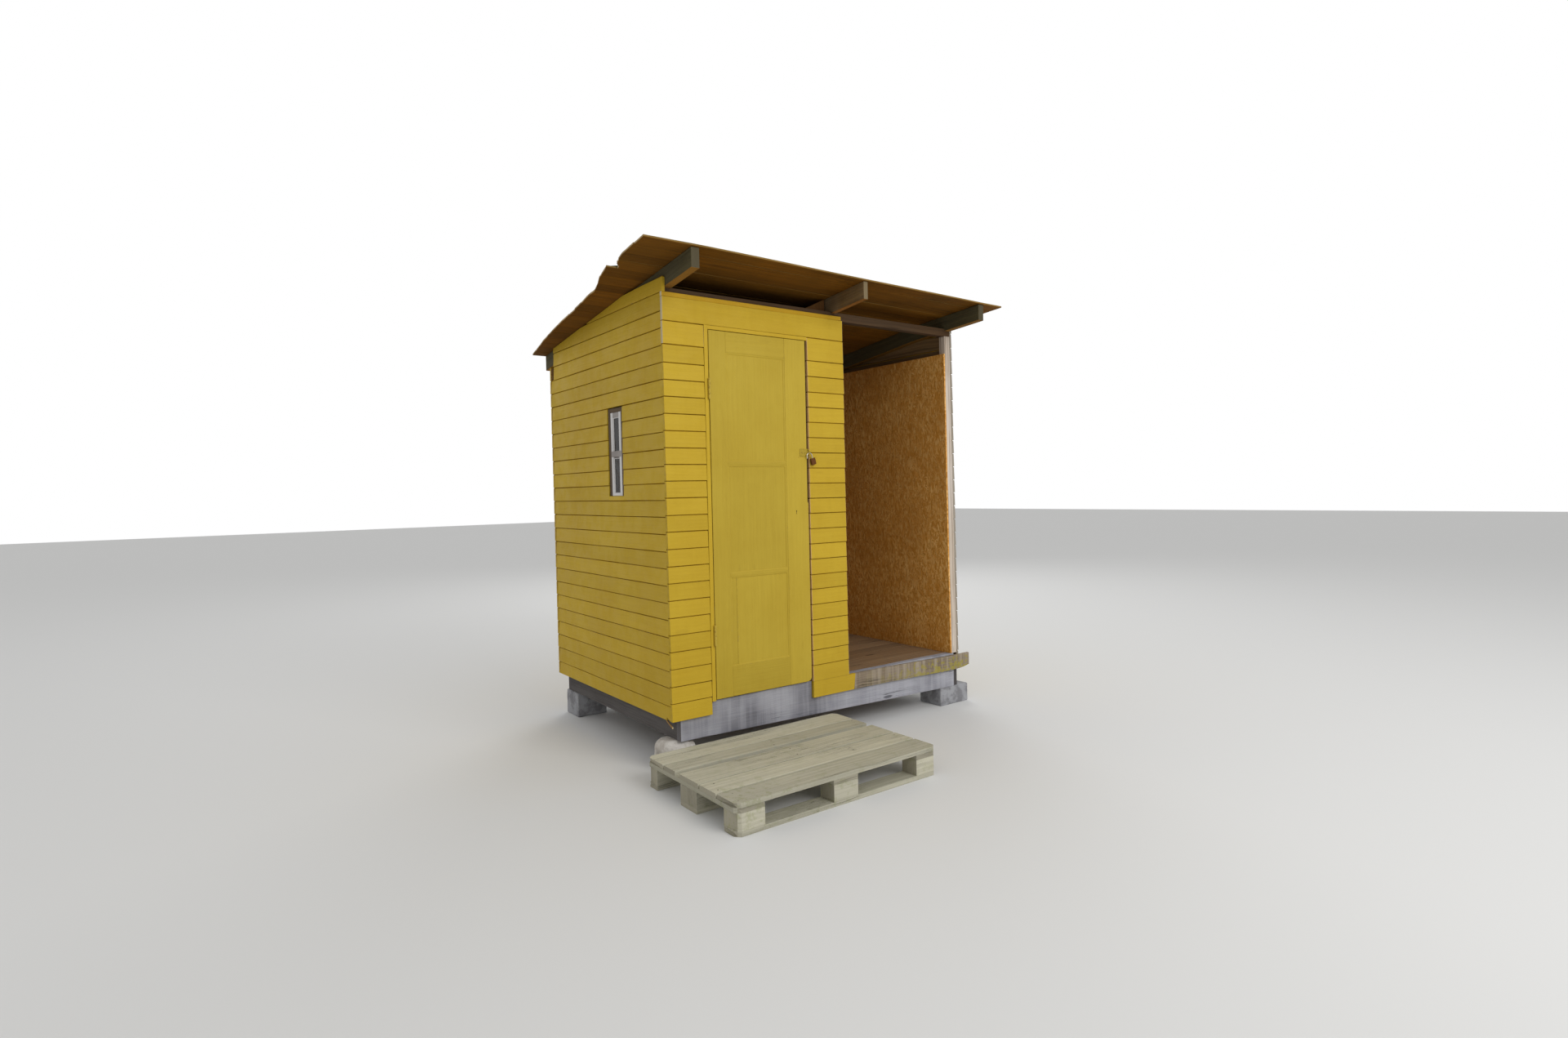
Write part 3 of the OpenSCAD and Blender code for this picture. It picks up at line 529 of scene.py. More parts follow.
sill_grey = timber_material("sill_grey", (116, 115, 121), (76, 78, 90), (176, 176, 183), (98, 94, 94),
                            streaks=0.3, clouds=0.8, runs=0.32)
board_piece("front_sill", "x", "-y", sill_grey, "grey_sill", ["sill_front"], ease=3, spacing=80, wave=0.8,
            steps=[90], warp=deeper_right)
rough_grey = timber_material("rough_grey", (104, 100, 98), (70, 66, 66), (124, 120, 118), (84, 80, 80))
make_piece("side_and_back_sills", [planks(solids("sill_sides"), "y", "-x", ease=3, wave=0.5),
                                   planks(solids("sill_back"), "x", "+y", ease=3, wave=0.8)],
           rough_grey, ["sill_sides", "sill_back"])
raw_frame = timber_material("raw_frame", (168, 140, 98), (122, 92, 56), (140, 118, 86), (150, 122, 80),
                            clouds=0.3)
board_piece("floor_joists", "y", "-x", raw_frame, "frame_wood", ease=2.5)


# The floors
# Planed boards are nailed down side by side on the joists, in the closed room and in the open bay.
def rows_across(box, widths, gap):
    """Cuts one box into boards side by side along Y, from the widths in turn, with a gap between them."""
    found, place, end = [], box[1], box[4]
    while place < end - 12:
        edge = min(place + widths[len(found) % len(widths)], end)
        if end - edge < 14:
            edge = end
        found.append((box[0], place, box[2], box[3], edge - (gap if edge < end else 0), box[5]))
        place = edge
    return found


floor_boards = timber_material("floor_boards", (158, 128, 92), (112, 82, 54), (128, 112, 92), (140, 112, 76))
floor_parts = [planks(rows_across(box, (118, 121, 117, 120), 1.5), "x", "+z", wave=0.3)
               for box in solids("cabin_floor", "bay_floor")]
make_piece("floors", floor_parts, floor_boards, ["cabin_floor", "bay_floor"])

# The frame
# Sawn studs and posts stand on the sills, two plates lie across their tops, and a short board closes the
# vent gap by the partition. All of it is nailed and unpainted.
roof_at_front, roof_fall, rafter_height = 2569.7, 0.12278, 96.0
post_grey = timber_material("post_grey", (222, 208, 190), (150, 130, 112), (226, 218, 210), (184, 164, 134),
                            streaks=0.75, clouds=0.6, rise=0.002)
# The door's posts, stops and head and the two plates take a dark brown that is painted shade: they stand
# under the roof and behind the door, where shade falls on them.
painted_shade_brown = timber_material("painted_shade_brown", (88, 66, 44), (58, 42, 28), (78, 64, 50), (70, 56, 40))
foot_out, lean_top, lean_height = 30, 2640, 2300


def trimmed(points, gap):
    """Lowers whatever stands nearer to the roof's underside than the gap onto a line that far below it."""
    points[:, 2] = np.minimum(points[:, 2], roof_at_front - gap - roof_fall * points[:, 1])
    return points


def under_roof(points):
    """Trims the studs just under the rafters' lower line."""
    return trimmed(points, rafter_height + 0.9)


def leaning_out(heights):
    """How far the bay's right side has moved out: the foot's distance times the share of the way down."""
    return foot_out * np.clip((lean_top - heights) / lean_height, 0, 1)


def racked(points):
    """Leans the bay's right side out at its foot."""
    points[:, 0] += leaning_out(points[:, 2])
    return points


board_piece("corner_and_window_studs", "z", "-y", raw_frame, "frame_wood", ["wall_posts", "window_studs"],
            wave=0.4, warp=under_roof)
door_timbers = solids("door_posts", "door_stops", "door_head")
door_uprights = [box for box in door_timbers if box[5] - box[2] > 100]
door_crosswise = [box for box in door_timbers if box[5] - box[2] <= 100]
make_piece("door_posts_and_stops", [planks(door_uprights, "z", "-y", wave=0.4),
                                    planks(door_crosswise, "x", "-y", wave=0.3)],
           painted_shade_brown, ["door_posts", "door_stops", "door_head"])
board_piece("plates", "x", "-y", painted_shade_brown, "frame_wood", ["front_plate", "back_plate"], wave=0.6)
board_piece("bay_posts", "z", "-y", post_grey, "grey_post", ease=2.5, wave=1.2, spacing=60, warp=racked)

# The rafters
# Three sawn rafters run from front to back with their ends cut plumb. Their sides have greyed, and their
# undersides are orange-brown: partly unweathered wood, partly a painted highlight on the lit lower edges.
eave_sag, sag_start, sag_length, sag_back, sag_depth = 28, 65, 2060, 300, 575


def sloped(points):
    """Lets the points down with the roof: the height falls in step with the distance back from the front,
    and the eave has sagged a little, most at the right."""
    along, forward = (points[:, 0] - sag_start) / sag_length, (sag_back - points[:, 1]) / sag_depth
    points[:, 2] -= roof_fall * points[:, 1] + eave_sag * np.clip(along, 0, 1) * np.clip(forward, 0, 1)
    return points


# The ochre undersides are partly a painted highlight where the rafters' lower edges catch the light.
rafter_wood = timber_material("rafter_wood", (94, 86, 58), (66, 60, 40), (92, 88, 70), (84, 76, 58),
                              clouds=0.6, raw_face=(146, 102, 36))
pale_rafter = timber_material("pale_rafter", (124, 98, 58), (84, 64, 36), (160, 140, 112), (128, 114, 86),
                              clouds=0.7, raw_face=(146, 96, 40))
rafter_foot = roof_at_front - rafter_height - 0.7
rafter_boxes = sorted((box[0], box[1], rafter_foot, box[3], box[4], roof_at_front - 0.1)
                      for box in solids("rafters"))
for name, boxes, material, nodes in (("rafters", rafter_boxes[::2], rafter_wood, ["rafters"]),
                                     ("middle_rafter", rafter_boxes[1:2], pale_rafter, [])):
    board_piece(name, "y", "-x", material, "frame_wood", nodes, boxes, ease=2, wave=0.7, spacing=90,
                bare=("foot",), warp=sloped)
stub_brown = timber_material("stub_brown", (112, 76, 38), (76, 48, 20), (96, 70, 42), (104, 74, 42))
stub_box = solids("gap_board")[0]


def slanting_top(points):
    """Cuts the short board's top on a slant: its height grows in step with X from under a half to the
    whole."""
    share = (points[:, 0] - stub_box[0]) / (stub_box[3] - stub_box[0])
    points[:, 2] = stub_box[2] + (points[:, 2] - stub_box[2]) * (0.45 + 0.55 * share)
    return points


board_piece("gap_board", "z", "-y", stub_brown, "frame_wood", wave=0.2, steps=[25, 50, 75], warp=slanting_top)


# The painted walls
# Horizontal boards 87 mm wide are nailed to the studs, each lapping a little over the one below, and brushed
# with yellow paint outside. The front boards cover the side boards' ends at the corner.
def painted_material(name, paint, worn, deep, bare_wood, gloss=0.5, chips=0.5, rise=0.0009,
                     cut_wood=(206, 192, 154)):
    """Paint over wood: thin on the raised grain, clouded and streaked, darker brown along the lips and
    ends as grime and as painted shade of the laps, chipped at the lips and ends down to grey wood, with
    bare wood on the sides that the brush never reached."""
    material, shader, place, grime = new_material(name)
    fibres, tone, raw, lip, cut = grain_of(place)
    body = mixed(times(grime["Clouds"], 0.6), paint, worn)
    body = mixed(ramped(fibres["Fibres"], 0.45, 0.8, 0.0, 0.25), body, deep)
    body = mixed(times(fibres["Bands"], 0.08), body, deep)
    body = mixed(times(times(grime["Runs"], grime["Patches"]), 0.1), body, deep)
    body = mixed(times(fibres["Knots"], 0.12), body, (128, 96, 30))
    body = toned(body, tone, 0.95, 1.05)
    edge = maths("MAXIMUM", ramped(lip, 0.965, 1.0), ramped(lip, 0.03, 0.0))
    edge = maths("MAXIMUM", edge, cut)
    rubbed = noise(place, 42.0, 4.0, 0.7)
    missing = times(times(ramped(rubbed, 0.63, 0.67), edge), chips)
    # Darker brown along the lips and ends: partly grime, partly painted shade of the lap lines.
    body = mixed(times(ramped(rubbed, 0.4, 0.6), times(edge, 0.2)), body, (116, 92, 36))
    body = mixed(missing, body, mixed(fibres["Bands"], (168, 156, 140), (128, 112, 92)))
    inner = mixed(fibres["Bands"], bare_wood, dimmed(bare_wood, 0.78))
    inner = mixed(times(cut, 0.85), inner, cut_wood)
    roughness = maths("MULTIPLY_ADD", maths("MAXIMUM", raw, missing), 0.3,
                      ramped(grime["Patches"], 0.0, 1.0, gloss, gloss + 0.12))
    height = maths("MULTIPLY_ADD", fibres["Fibres"], 0.5, times(fibres["Bands"], 0.3))
    finish(shader, mixed(raw, body, inner), roughness, maths("SUBTRACT", height, times(missing, 0.8)), rise)
    return material


wall_yellows = (198, 166, 46), (188, 154, 38), (160, 126, 28)
wall_yellow = painted_material("wall_yellow", *wall_yellows, (158, 124, 78))
lap_gap = 4.2
wall_foot, bay_foot, wall_top = 271.0, 338.0, 2305.0
side_lines = (350, 444, 530, 617, 704, 792, 879, 967, 1055, 1141, 1229, 1317, 1403, 1489, 1575, 1662, 1748,
              1837, 1925, 2012, 2098, 2183, 2270, 2355, 2448)
side_nail_rows = (wall_foot, *side_lines[:-3])
wall_thick, side_back, side_front, corner_front = 20, 1525.0, 20.3, 0.3
partition_outer, right_outer = 1170, 2146
corner_rows_above, short_rows_above, shorter_by = 2440, 2180, 45.0
window_back, window_front, window_foot, window_top = 495.0, 684.0, 1428.0, 1920.0
front_gap, narrowest_gap, gap_length = 47, 2.2, 450


def roof_gap(places):
    """The gap over a side wall: widest at the front, closing in step with the distance back."""
    return np.maximum(narrowest_gap, front_gap - places * (front_gap - narrowest_gap) / gap_length)


def below_roof(points):
    """Trims the side boards to the roof's underside, leaving the gap above them."""
    return trimmed(points, roof_gap(points[:, 1]))


def below_rafters(points):
    """Trims the partition's boards, which leave the same gap under the roof all the way back."""
    return trimmed(points, front_gap)


def racked_wall(points):
    """The right wall's boards: trimmed under the roof, then leaning out with the post."""
    return racked(below_roof(points))


def racked_end(points):
    """Carries the back wall's right ends out with the leaning right wall, and nothing left of the
    partition."""
    share = (points[:, 0] - partition_outer) / (right_outer - partition_outer)
    points[:, 0] += np.clip(share, 0, 1) * leaning_out(points[:, 2])
    return points


def side_boards(x_low, foot, is_left=False):
    """The boxes of one side wall, row by row: each row ends at the back or where the roof's line comes down
    to it. On the left the top rows reach the corner and end short of the back, and the window cuts its rows
    in two."""
    found = []
    lines = [foot, *(line for line in side_lines if line > foot + 20), roof_at_front - front_gap]
    for lower, upper in zip(lines[:-1], lines[1:]):
        start = corner_front if is_left and lower > corner_rows_above else side_front
        end = min(side_back, (roof_at_front - narrowest_gap - 5 - lower) / roof_fall)
        if is_left and lower > short_rows_above and end > side_back - 60:
            end -= shorter_by
        if end == side_back:
            end += draws.uniform(-1.5, 0)
        spans = [(start, end)]
        if is_left and lower < window_top - 8 and upper > window_foot + 1:
            spans = [(start, window_back + draws.uniform(-1, 1)), (window_front + draws.uniform(-1, 1), end)]
        found += [(x_low, near, lower, x_low + wall_thick, far, upper - lap_gap) for near, far in spans]
    return found


def front_boards(x_low, x_high, y_low, foot, lines, top, ragged_low, ragged_high):
    """The boxes of a front or back wall's rows, their ends cut a few millimetres long or short."""
    lines = [foot] + [line for line in lines if line < top - 60] + [top]
    return [(x_low + draws.uniform(*ragged_low), y_low, lower, x_high + draws.uniform(*ragged_high),
             y_low + wall_thick, upper - lap_gap) for lower, upper in zip(lines[:-1], lines[1:])]


def laps(boxes, axis, inner, short):
    """The tongues that show between the rows: a thin strip in the middle of the wall's thickness behind
    each row's upper edge, a little shorter than the row. Coloured as painted shade of the joints, they show
    as dark lines."""
    found = []
    for box in boxes:
        strip = list(box)
        strip[2], strip[5] = box[5] - 5, box[5] + lap_gap + 5
        strip[axis], strip[axis + 3] = inner, inner + 9
        strip[1 - axis] += short
        strip[4 - axis] -= 2
        found.append(tuple(strip))
    return found


def dome_parts(places, normal, radius, rise, rings=3, around=10):
    """Round heads at these places: each is a low dome, its height falling off as the square of the way out,
    on a short straight rim."""
    normal = np.asarray(normal, float)
    side = np.cross(normal, [0.3, 0.5, 0.8])
    side /= np.linalg.norm(side)
    other = np.cross(normal, side)
    out = np.append(1.0, np.linspace(1.0, 0.0, rings + 1))[:, None, None]
    height = np.append(-0.6, 1 - out[1:] ** 2)[:, None, None]
    turn = np.linspace(0, 2 * np.pi, around, endpoint=False)[:, None]
    shape = out * radius * (np.cos(turn) * side + np.sin(turn) * other) + height * rise * normal
    return [grid_part(np.asarray(place, float) + shape, closed_across=True,
                      colour=(draws.uniform(), 0, 0.5, 0)) for place in places]


def nails(rows, places, axis, face, normal):
    """Painted nail heads, one per row at each place, a little above the row's lower edge."""
    found = []
    for place in places:
        for lower in rows:
            spot = [face, face, lower + 22 + draws.uniform(-4, 4)]
            spot[axis] = place + draws.uniform(-6, 6)
            found.append(spot)
    return dome_parts(found, normal, 3.0, 0.9, rings=1, around=8)


def clad(boxes, along, face, spacing, wave, bare=("back",), **shape):
    """The boards of a painted wall, each leaning back from its lower edge."""
    return planks(boxes, along, face, ease=1.6, lean=3.2, spacing=spacing, wave=wave, bare=bare, **shape)


def split_corner(points):
    """Breaks the lowest board's lower edge away near the front corner, most at 41 mm from its end."""
    bite = np.interp(points[:, 1] - side_front, [2, 41, 45], [0, 15, 0])
    points[:, 2] += np.where(points[:, 2] < wall_foot + 40, bite, 0)
    return points


def hanging(points):
    """Tilts the splinter, so that its back end stays on the board and its tip hangs below the corner."""
    points[:, 2] += (points[:, 1] - 10) * 0.42
    return points


left_boxes = side_boards(0, wall_foot, is_left=True)
sill_strip = (0.0, window_back - 0.4, 1403.0, 20.0, window_front + 0.4, window_foot - 0.6)
splinter = (3.0, 10.0, 236.0, 9.0, 74.0, 245.0)
make_piece("left_wall", [clad(left_boxes[:1], "y", "-x", 70, 0.3, marks=[20, 36, 41, 45], warp=split_corner),
                         clad(left_boxes[1:], "y", "-x", 70, 0.7, warp=below_roof),
                         planks([sill_strip], "y", "-x", ease=1.0, lean=1.4, wave=0, ends=0.2,
                                bare=("back",)),
                         planks([splinter], "y", "-x", ease=1.0, wave=0, warp=hanging,
                                bare=("back", "front", "foot", "top", "ends"))]
           + nails(side_nail_rows, (44, 1501), 1, 1.4, (-1, 0, 0))
           + nails(side_nail_rows, (470, 700), 1, 1.4, (-1, 0, 0)), wall_yellow)
right_boxes = side_boards(right_outer - wall_thick, wall_foot)
end_grey = painted_material("end_grey", *wall_yellows, (150, 122, 84), chips=0.6, cut_wood=(158, 150, 138))
make_piece("right_wall", [clad(right_boxes, "y", "+x", 70, 0.7, ("back", "ends"), warp=racked_wall)],
           end_grey)
raw_boards = timber_material("raw_boards", (164, 128, 82), (118, 84, 46), (128, 104, 72), (140, 110, 70))
partition_boxes = side_boards(partition_outer - wall_thick, bay_foot)
board_piece("partition_wall", "y", "+x", raw_boards, "floor_wood", boxes=partition_boxes, spacing=90,
            wave=0.6, warp=below_rafters)

left_lines = (366, 452, 542, 630, 716, 804, 892, 980, 1066, 1154, 1242, 1326, 1414, 1500, 1584, 1668, 1754,
              1840, 1926, 2010, 2096, 2188)
left_rows = front_boards(0, 239.6, 0, wall_foot, left_lines, wall_top, (0, 1.2), (-2, 0))
make_piece("front_wall_left", [clad(left_rows[:-1], "x", "-y", 60, 0.3),
                               clad(left_rows[-1:], "x", "-y", 60, 0.3, ("back", "ends"))]
           + nails((wall_foot, *left_lines), (44, 222), 0, 1.4, (0, -1, 0)), wall_yellow)
right_lines = (431, 519, 607, 695, 783, 871, 955, 1044, 1132, 1219, 1307, 1393, 1479, 1566, 1653, 1739, 1826,
               1912, 1997, 2086, 2175)
right_rows = front_boards(919, 1190, 0, bay_foot, right_lines, wall_top, (0, 2.5), (-2.5, 1))
# The pale tan end grain and end rims of these boards are partly bare wood and partly a painted highlight on
# their lit ends.
end_tan = painted_material("end_tan", *wall_yellows, (158, 124, 78), cut_wood=(230, 190, 132))
make_piece("front_wall_right", [clad(right_rows, "x", "-y", 60, 0.3, ("back", "ends"), ends=2.0)]
           + nails((bay_foot, *right_lines), (935, 1126), 0, 1.4, (0, -1, 0)), end_tan)
back_rows = front_boards(0, right_outer, side_back, wall_foot, side_lines, 2270.2, (0, 1), (-1, 0))
make_piece("back_wall", [clad(back_rows, "x", "+y", 70, 0.7, warp=racked_end)]
           + nails(side_nail_rows, (44, 1126, 2096), 0, 1543.6, (0, 1, 0)), wall_yellow)
lap_parts = [planks(laps(boxes, axis, inner, short), "yx"[axis], face, ease=0.8, spacing=200, warp=warp)
             for boxes, axis, inner, short, face, warp in (
                 (left_boxes, 0, 8, 2, "-x", below_roof), (right_boxes, 0, 2129, 5, "+x", racked_wall),
                 (left_rows, 1, 8, 2, "-y", None), (right_rows, 1, 8, 2, "-y", None),
                 (back_rows, 1, 1528, 2, "+y", racked_end))]
# The laps' yellow-brown is painted shade: it stands for the shade, and the yellow light bounced off the
# paint, in the narrow joints between the rows.
lap_shaded_joint = timber_material("lap_shaded_joint", (166, 126, 20), (134, 98, 12), (148, 112, 16), (120, 88, 16))
make_piece("wall_laps", lap_parts, lap_shaded_joint, ())

# The long bottom board
# One board runs along the foot of the front from the door to past the bay's post. Its left end is painted
# with the wall, and the rest has weathered grey-brown, with yellow-green growth along its lower edge.
bottom_box = solids("bottom_board_right")[0]
painted_end = 1234.0


def sagging(points):
    """Lets the board sag by 12 mm towards the bay's post, wears away the lower corner of its right end, and
    slants the line where the paint ends."""
    x, z = points[:, 0], points[:, 2]
    sag = 12 * np.clip((x - 1400) / 600, 0, 1) ** 1.5
    worn = np.clip((x - 2130) / 126, 0, 1) ** 2 * 16 * np.clip((300 - z) / 40, 0, 1)
    points[:, 2] = z - sag + worn
    slant = np.clip((z - bottom_box[2]) / 95, 0, 1) * 12 - 6
    points[:, 0] = np.where(np.abs(x - painted_end) < 3, x + slant, x)
    return points


old_board = timber_material("old_board", (132, 114, 92), (82, 66, 48), (176, 164, 146), (190, 182, 150),
                            runs=0.7, growth=(160, 148, 66), growth_share=0.8, growth_along=(0.15, 0.95))
bottom_left, bottom_right = (*bottom_box[:3], painted_end, *bottom_box[4:]), (painted_end, *bottom_box[1:])
board_piece("bottom_board_painted", "x", "-y", wall_yellow, "yellow_boards", (), [bottom_left], ease=1.6,
            spacing=60, wave=0.3, warp=sagging)
board_piece("bottom_board_weathered", "x", "-y", old_board, "frame_wood", ["bottom_board_right"],
            [bottom_right], ease=2.2, spacing=30, wave=0.8, steps=[45], warp=sagging)

# The fascia and the door's casing
# A wide board and a narrow one above it close the front over the door, and thin strips cover the gap between
# the wall boards and the door. They are painted with the walls, but the fascia's cut left end stayed bare.
board_piece("fascia", "x", "-y", wall_yellow, "yellow_boards", boxes=[(0, 0, 2305, 1185, 20, 2423.6)], ease=2,
            spacing=60, wave=0.6, ends=2.0, bare=("ends",))
# The cap is a deeper ochre than the fascia. Its top edge is left pale bare wood, partly a painted highlight
# where it catches the light.
cap_ochre = painted_material("cap_ochre", (200, 158, 34), (190, 148, 28), (160, 120, 20), (214, 196, 140),
                             cut_wood=(214, 202, 168))
board_piece("fascia_cap", "x", "-y", cap_ochre, "yellow_boards", boxes=[(0, 2.5, 2424, 1177, 20, 2447)],
            ease=1.6, spacing=60, wave=0.4, bare=("ends", "top"))
make_piece("door_casing", [planks([(240.2, 0, 338, 263, 20, 2304.6)], "z", "-y", wave=0.4),
                           planks([(263.4, 2, 2284.5, 918.6, 20, 2304.6)], "x", "-y", wave=0.4)],
           wall_yellow)


# The strand board
# The bay's right side is lined with one sheet of pressed wood strands, screwed to the posts. It has browned,
# and its strands lie every way but mostly upright.
def strand_material():
    """Four layers of long cells, each turned another way, give strands with their own shade; noise picks
    which layer shows, and each cell's rim gets a thin dark line of painted shadow and is sunk in the bump."""
    material, shader, place, grime = new_material("strand_board")
    apart = shader_node("SeparateXYZ", {0: place})
    flat = shader_node("CombineXYZ", {0: apart["Y"], 1: apart["Z"]})[0]
    picks = noise(place, 30.0)
    for number, (angle, limit) in enumerate(((5, None), (-20, 0.47), (28, 0.54), (70, 0.62))):
        turned = shader_node("VectorRotate", {"Vector": flat, "Angle": np.radians(angle)},
                             rotation_type="Z_AXIS")[0]
        moved = shader_node("VectorMath", {0: turned, 1: (number * 3.7, number * 1.9, 0.0)})[0]
        cells = shader_node("TexVoronoi", {"Vector": stretched(moved, (120.0, 24.0, 1.0)), "Scale": 1.0})
        layer = (shader_node("SeparateColor", {0: cells["Color"]})["Red"],
                 ramped(cells["Distance"], 0.45, 0.75))
        if limit is not None:
            over = ramped(picks, limit, limit + 0.01)
            layer = [shader_node("Mix", {0: over, 2: below, 3: above})[0]
                     for below, above in zip((shade, rim), layer)]
        shade, rim = layer
    body = shader_node("ValToRGB", {0: shade})[0]
    colours = body.node.color_ramp.elements
    colours[0].color, colours[1].color = srgb((198, 134, 50)), srgb((250, 202, 126))
    colours.new(0.5).color = srgb((226, 162, 76))
    # A thin dark line at each strand's rim: painted shadow.
    body = mixed(times(rim, 0.14), body, (110, 64, 18))
    body = mixed(times(grime["Clouds"], 0.4), body, (184, 120, 42))
    finish(shader, body, 0.62, maths("SUBTRACT", times(shade, 0.8), rim), 0.0005)
    return material


board_piece("strand_board", "z", "-x", strand_material(), "strand_board", ease=0.6, wave=1.0, spacing=150,
            steps=[300, 600, 900, 1200], warp=racked)

# The window
# A narrow sash of two panes sits in bare boards that line the opening, their dark brown painted shade of
# the reveal. Its stiles and bottom rail are painted pale grey, its top rail and bars a darker brownish grey,
# and the glass is old and dusty.
# The lining's dark brown is painted shade: bare boards deep in the reveal, coloured as if shaded.
lining_shaded_brown = timber_material("lining_shaded_brown", (104, 88, 68), (66, 52, 40), (120, 106, 92), (96, 80, 62))
lining_boxes = [(6, 495, 1428.2, 66, 518.8, 1919.8), (6, 651.2, 1428.2, 66, 674.8, 1919.8),
                (8, 674.9, 1428.2, 19.5, 685.5, 1919.8), (6, 519, 1896.2, 66, 651, 1919.8)]
make_piece("window_lining", [planks(lining_boxes[:3], "z", "-x", ease=1.2, wave=0.4, spacing=80),
                             planks(lining_boxes[3:], "y", "-x", ease=1.2, wave=0.2, spacing=80)],
           lining_shaded_brown)


def bead(low, high, axes, face, depth, wide, points_round, flip):
    """A bead carried round a rectangle in a wall's plane: the profile, an arc of a quarter turn or, with two
    points, a straight bevel, goes round the four mitred corners, set in from them by the profile's own
    width."""
    turn = np.radians(np.linspace(0, 90, points_round))
    inset = np.append(wide * np.sin(turn), 0.0)
    points = np.empty((4, len(inset), 3))
    points[..., axes[0]] = np.take((low[0], high[0]), [0, 1, 1, 0])[:, None] + np.outer((1, -1, -1, 1), inset)
    points[..., axes[1]] = np.take((low[1], high[1]), [0, 0, 1, 1])[:, None] + np.outer((1, 1, -1, -1), inset)
    points[..., 3 - sum(axes)] = face + np.append(depth * (1 - np.cos(turn)), depth)
    return grid_part(points, closed_across=True, closed_along=True, flip=flip)


sash_paint = painted_material("sash_paint", (222, 220, 218), (204, 202, 200), (134, 128, 126),
                              (150, 138, 122), chips=0.9)
# The top rail and the bars are a darker brownish grey than the stiles.
sash_darker_grey = painted_material("sash_darker_grey", (176, 170, 166), (120, 112, 108), (84, 74, 66), (110, 98, 84),
                             chips=0.9)
pane_rows = [(1443.0, 1640.5), (1665.5, 1867.0)]
sash_inner = (548.0, 622.0)
sash_uprights = [(6, 519.2, 1428.2, 34, sash_inner[0], 1895.8), (6, sash_inner[1], 1428.2, 34, 650.8, 1895.8)]
bottom_rail, top_rail, bar_behind = (
    (x, sash_inner[0] + 0.2, low, 34, sash_inner[1] - 0.2, high)
    for x, low, high in ((6, 1428.2, 1443.0), (6, 1867.0, 1895.8), (12.1, 1640.6, 1665.4)))
bar_across = (4.8, 524, 1647.0, 12, 646, 1680.0)
make_piece("window_sash", [planks(sash_uprights, "z", "-x", ease=2.2, wave=0.3, spacing=60),
                           planks([bottom_rail], "y", "-x", ease=2.2, wave=0.1, spacing=60)]
           + [bead((sash_inner[0], foot), (sash_inner[1], top), (1, 2), 8.0, 3.8, 4.0, 2, False)
              for foot, top in pane_rows], sash_paint)
board_piece("window_rails", "y", "-x", sash_darker_grey, "window_paint", (), [top_rail, bar_across, bar_behind],
            ease=2.2, wave=0.1, spacing=60)


def glass_material():
    """Old window glass, partly clear: its dark brown body is painted shade of the dim room behind it, and it
    is paler and duller where noise lets dust lie.
    """
    material, shader, place, grime = new_material("window_glass")
    dust = ramped(noise(place, 24.0, 4.0, 0.65), 0.42, 0.62)
    # The dark brown body is painted shade standing for the room behind the glass; the paler colour is dust.
    finish(shader, mixed(dust, (16, 11, 7), (56, 45, 34)), ramped(dust, 0.0, 1.0, 0.05, 0.4),
           noise(place, 9.0, 1.0), 0.004, 0.4)
    shader["IOR"].default_value = 1.45
    shader["Transmission Weight"].default_value = 0.4
    shader["Specular IOR Level"].default_value = 0.08
    return material


board_piece("window_glass", "z", "-x", glass_material(), "glass", ease=0.4, wave=0.0, spacing=400, ends=0.4)

# The door
# Stiles and rails frame three flat panels, with a small moulding round each and narrow bars between them. The
# door is painted a greener yellow than the walls, and its lower corner by the lock is rubbed round.
door_yellow = painted_material("door_yellow", (190, 164, 56), (180, 152, 46), (150, 122, 32), (170, 140, 92),
                               gloss=0.45, chips=0.4, rise=0.0006)
leaf_left, leaf_right, leaf_foot, leaf_top = 267.0, 901.0, 345.0, 2281.0
leaf_thick, rail_inset = 38, 0.4
panel_left, panel_right, panel_face = 371.0, 755.0, 9.0
panel_rows = [(505.0, 986.0), (1002.0, 1579.0), (1595.0, 2172.0)]
worn_radius, step_out, step_height = 28.0, 5.5, 1372.0


def rubbed_corner(points):
    """Steps the lock side's edge out below the lock, and rounds the leaf's lower corner there: points past
    the arc come back onto it."""
    below_lock = np.clip((step_height - points[:, 2]) / 8, 0, 1)
    points[:, 0] += np.where(points[:, 0] > leaf_right - 11, step_out * below_lock, 0)
    middle = np.array([leaf_right + step_out - worn_radius, leaf_foot + worn_radius])
    away = points[:, [0, 2]] - middle
    reach = np.hypot(away[:, 0], away[:, 1])
    outside = (away[:, 0] > 0) & (away[:, 1] < 0) & (reach > worn_radius)
    scale = np.where(outside, worn_radius / np.maximum(reach, 1e-6), 1.0)
    points[:, [0, 2]] = middle + away * scale[:, None]
    return points


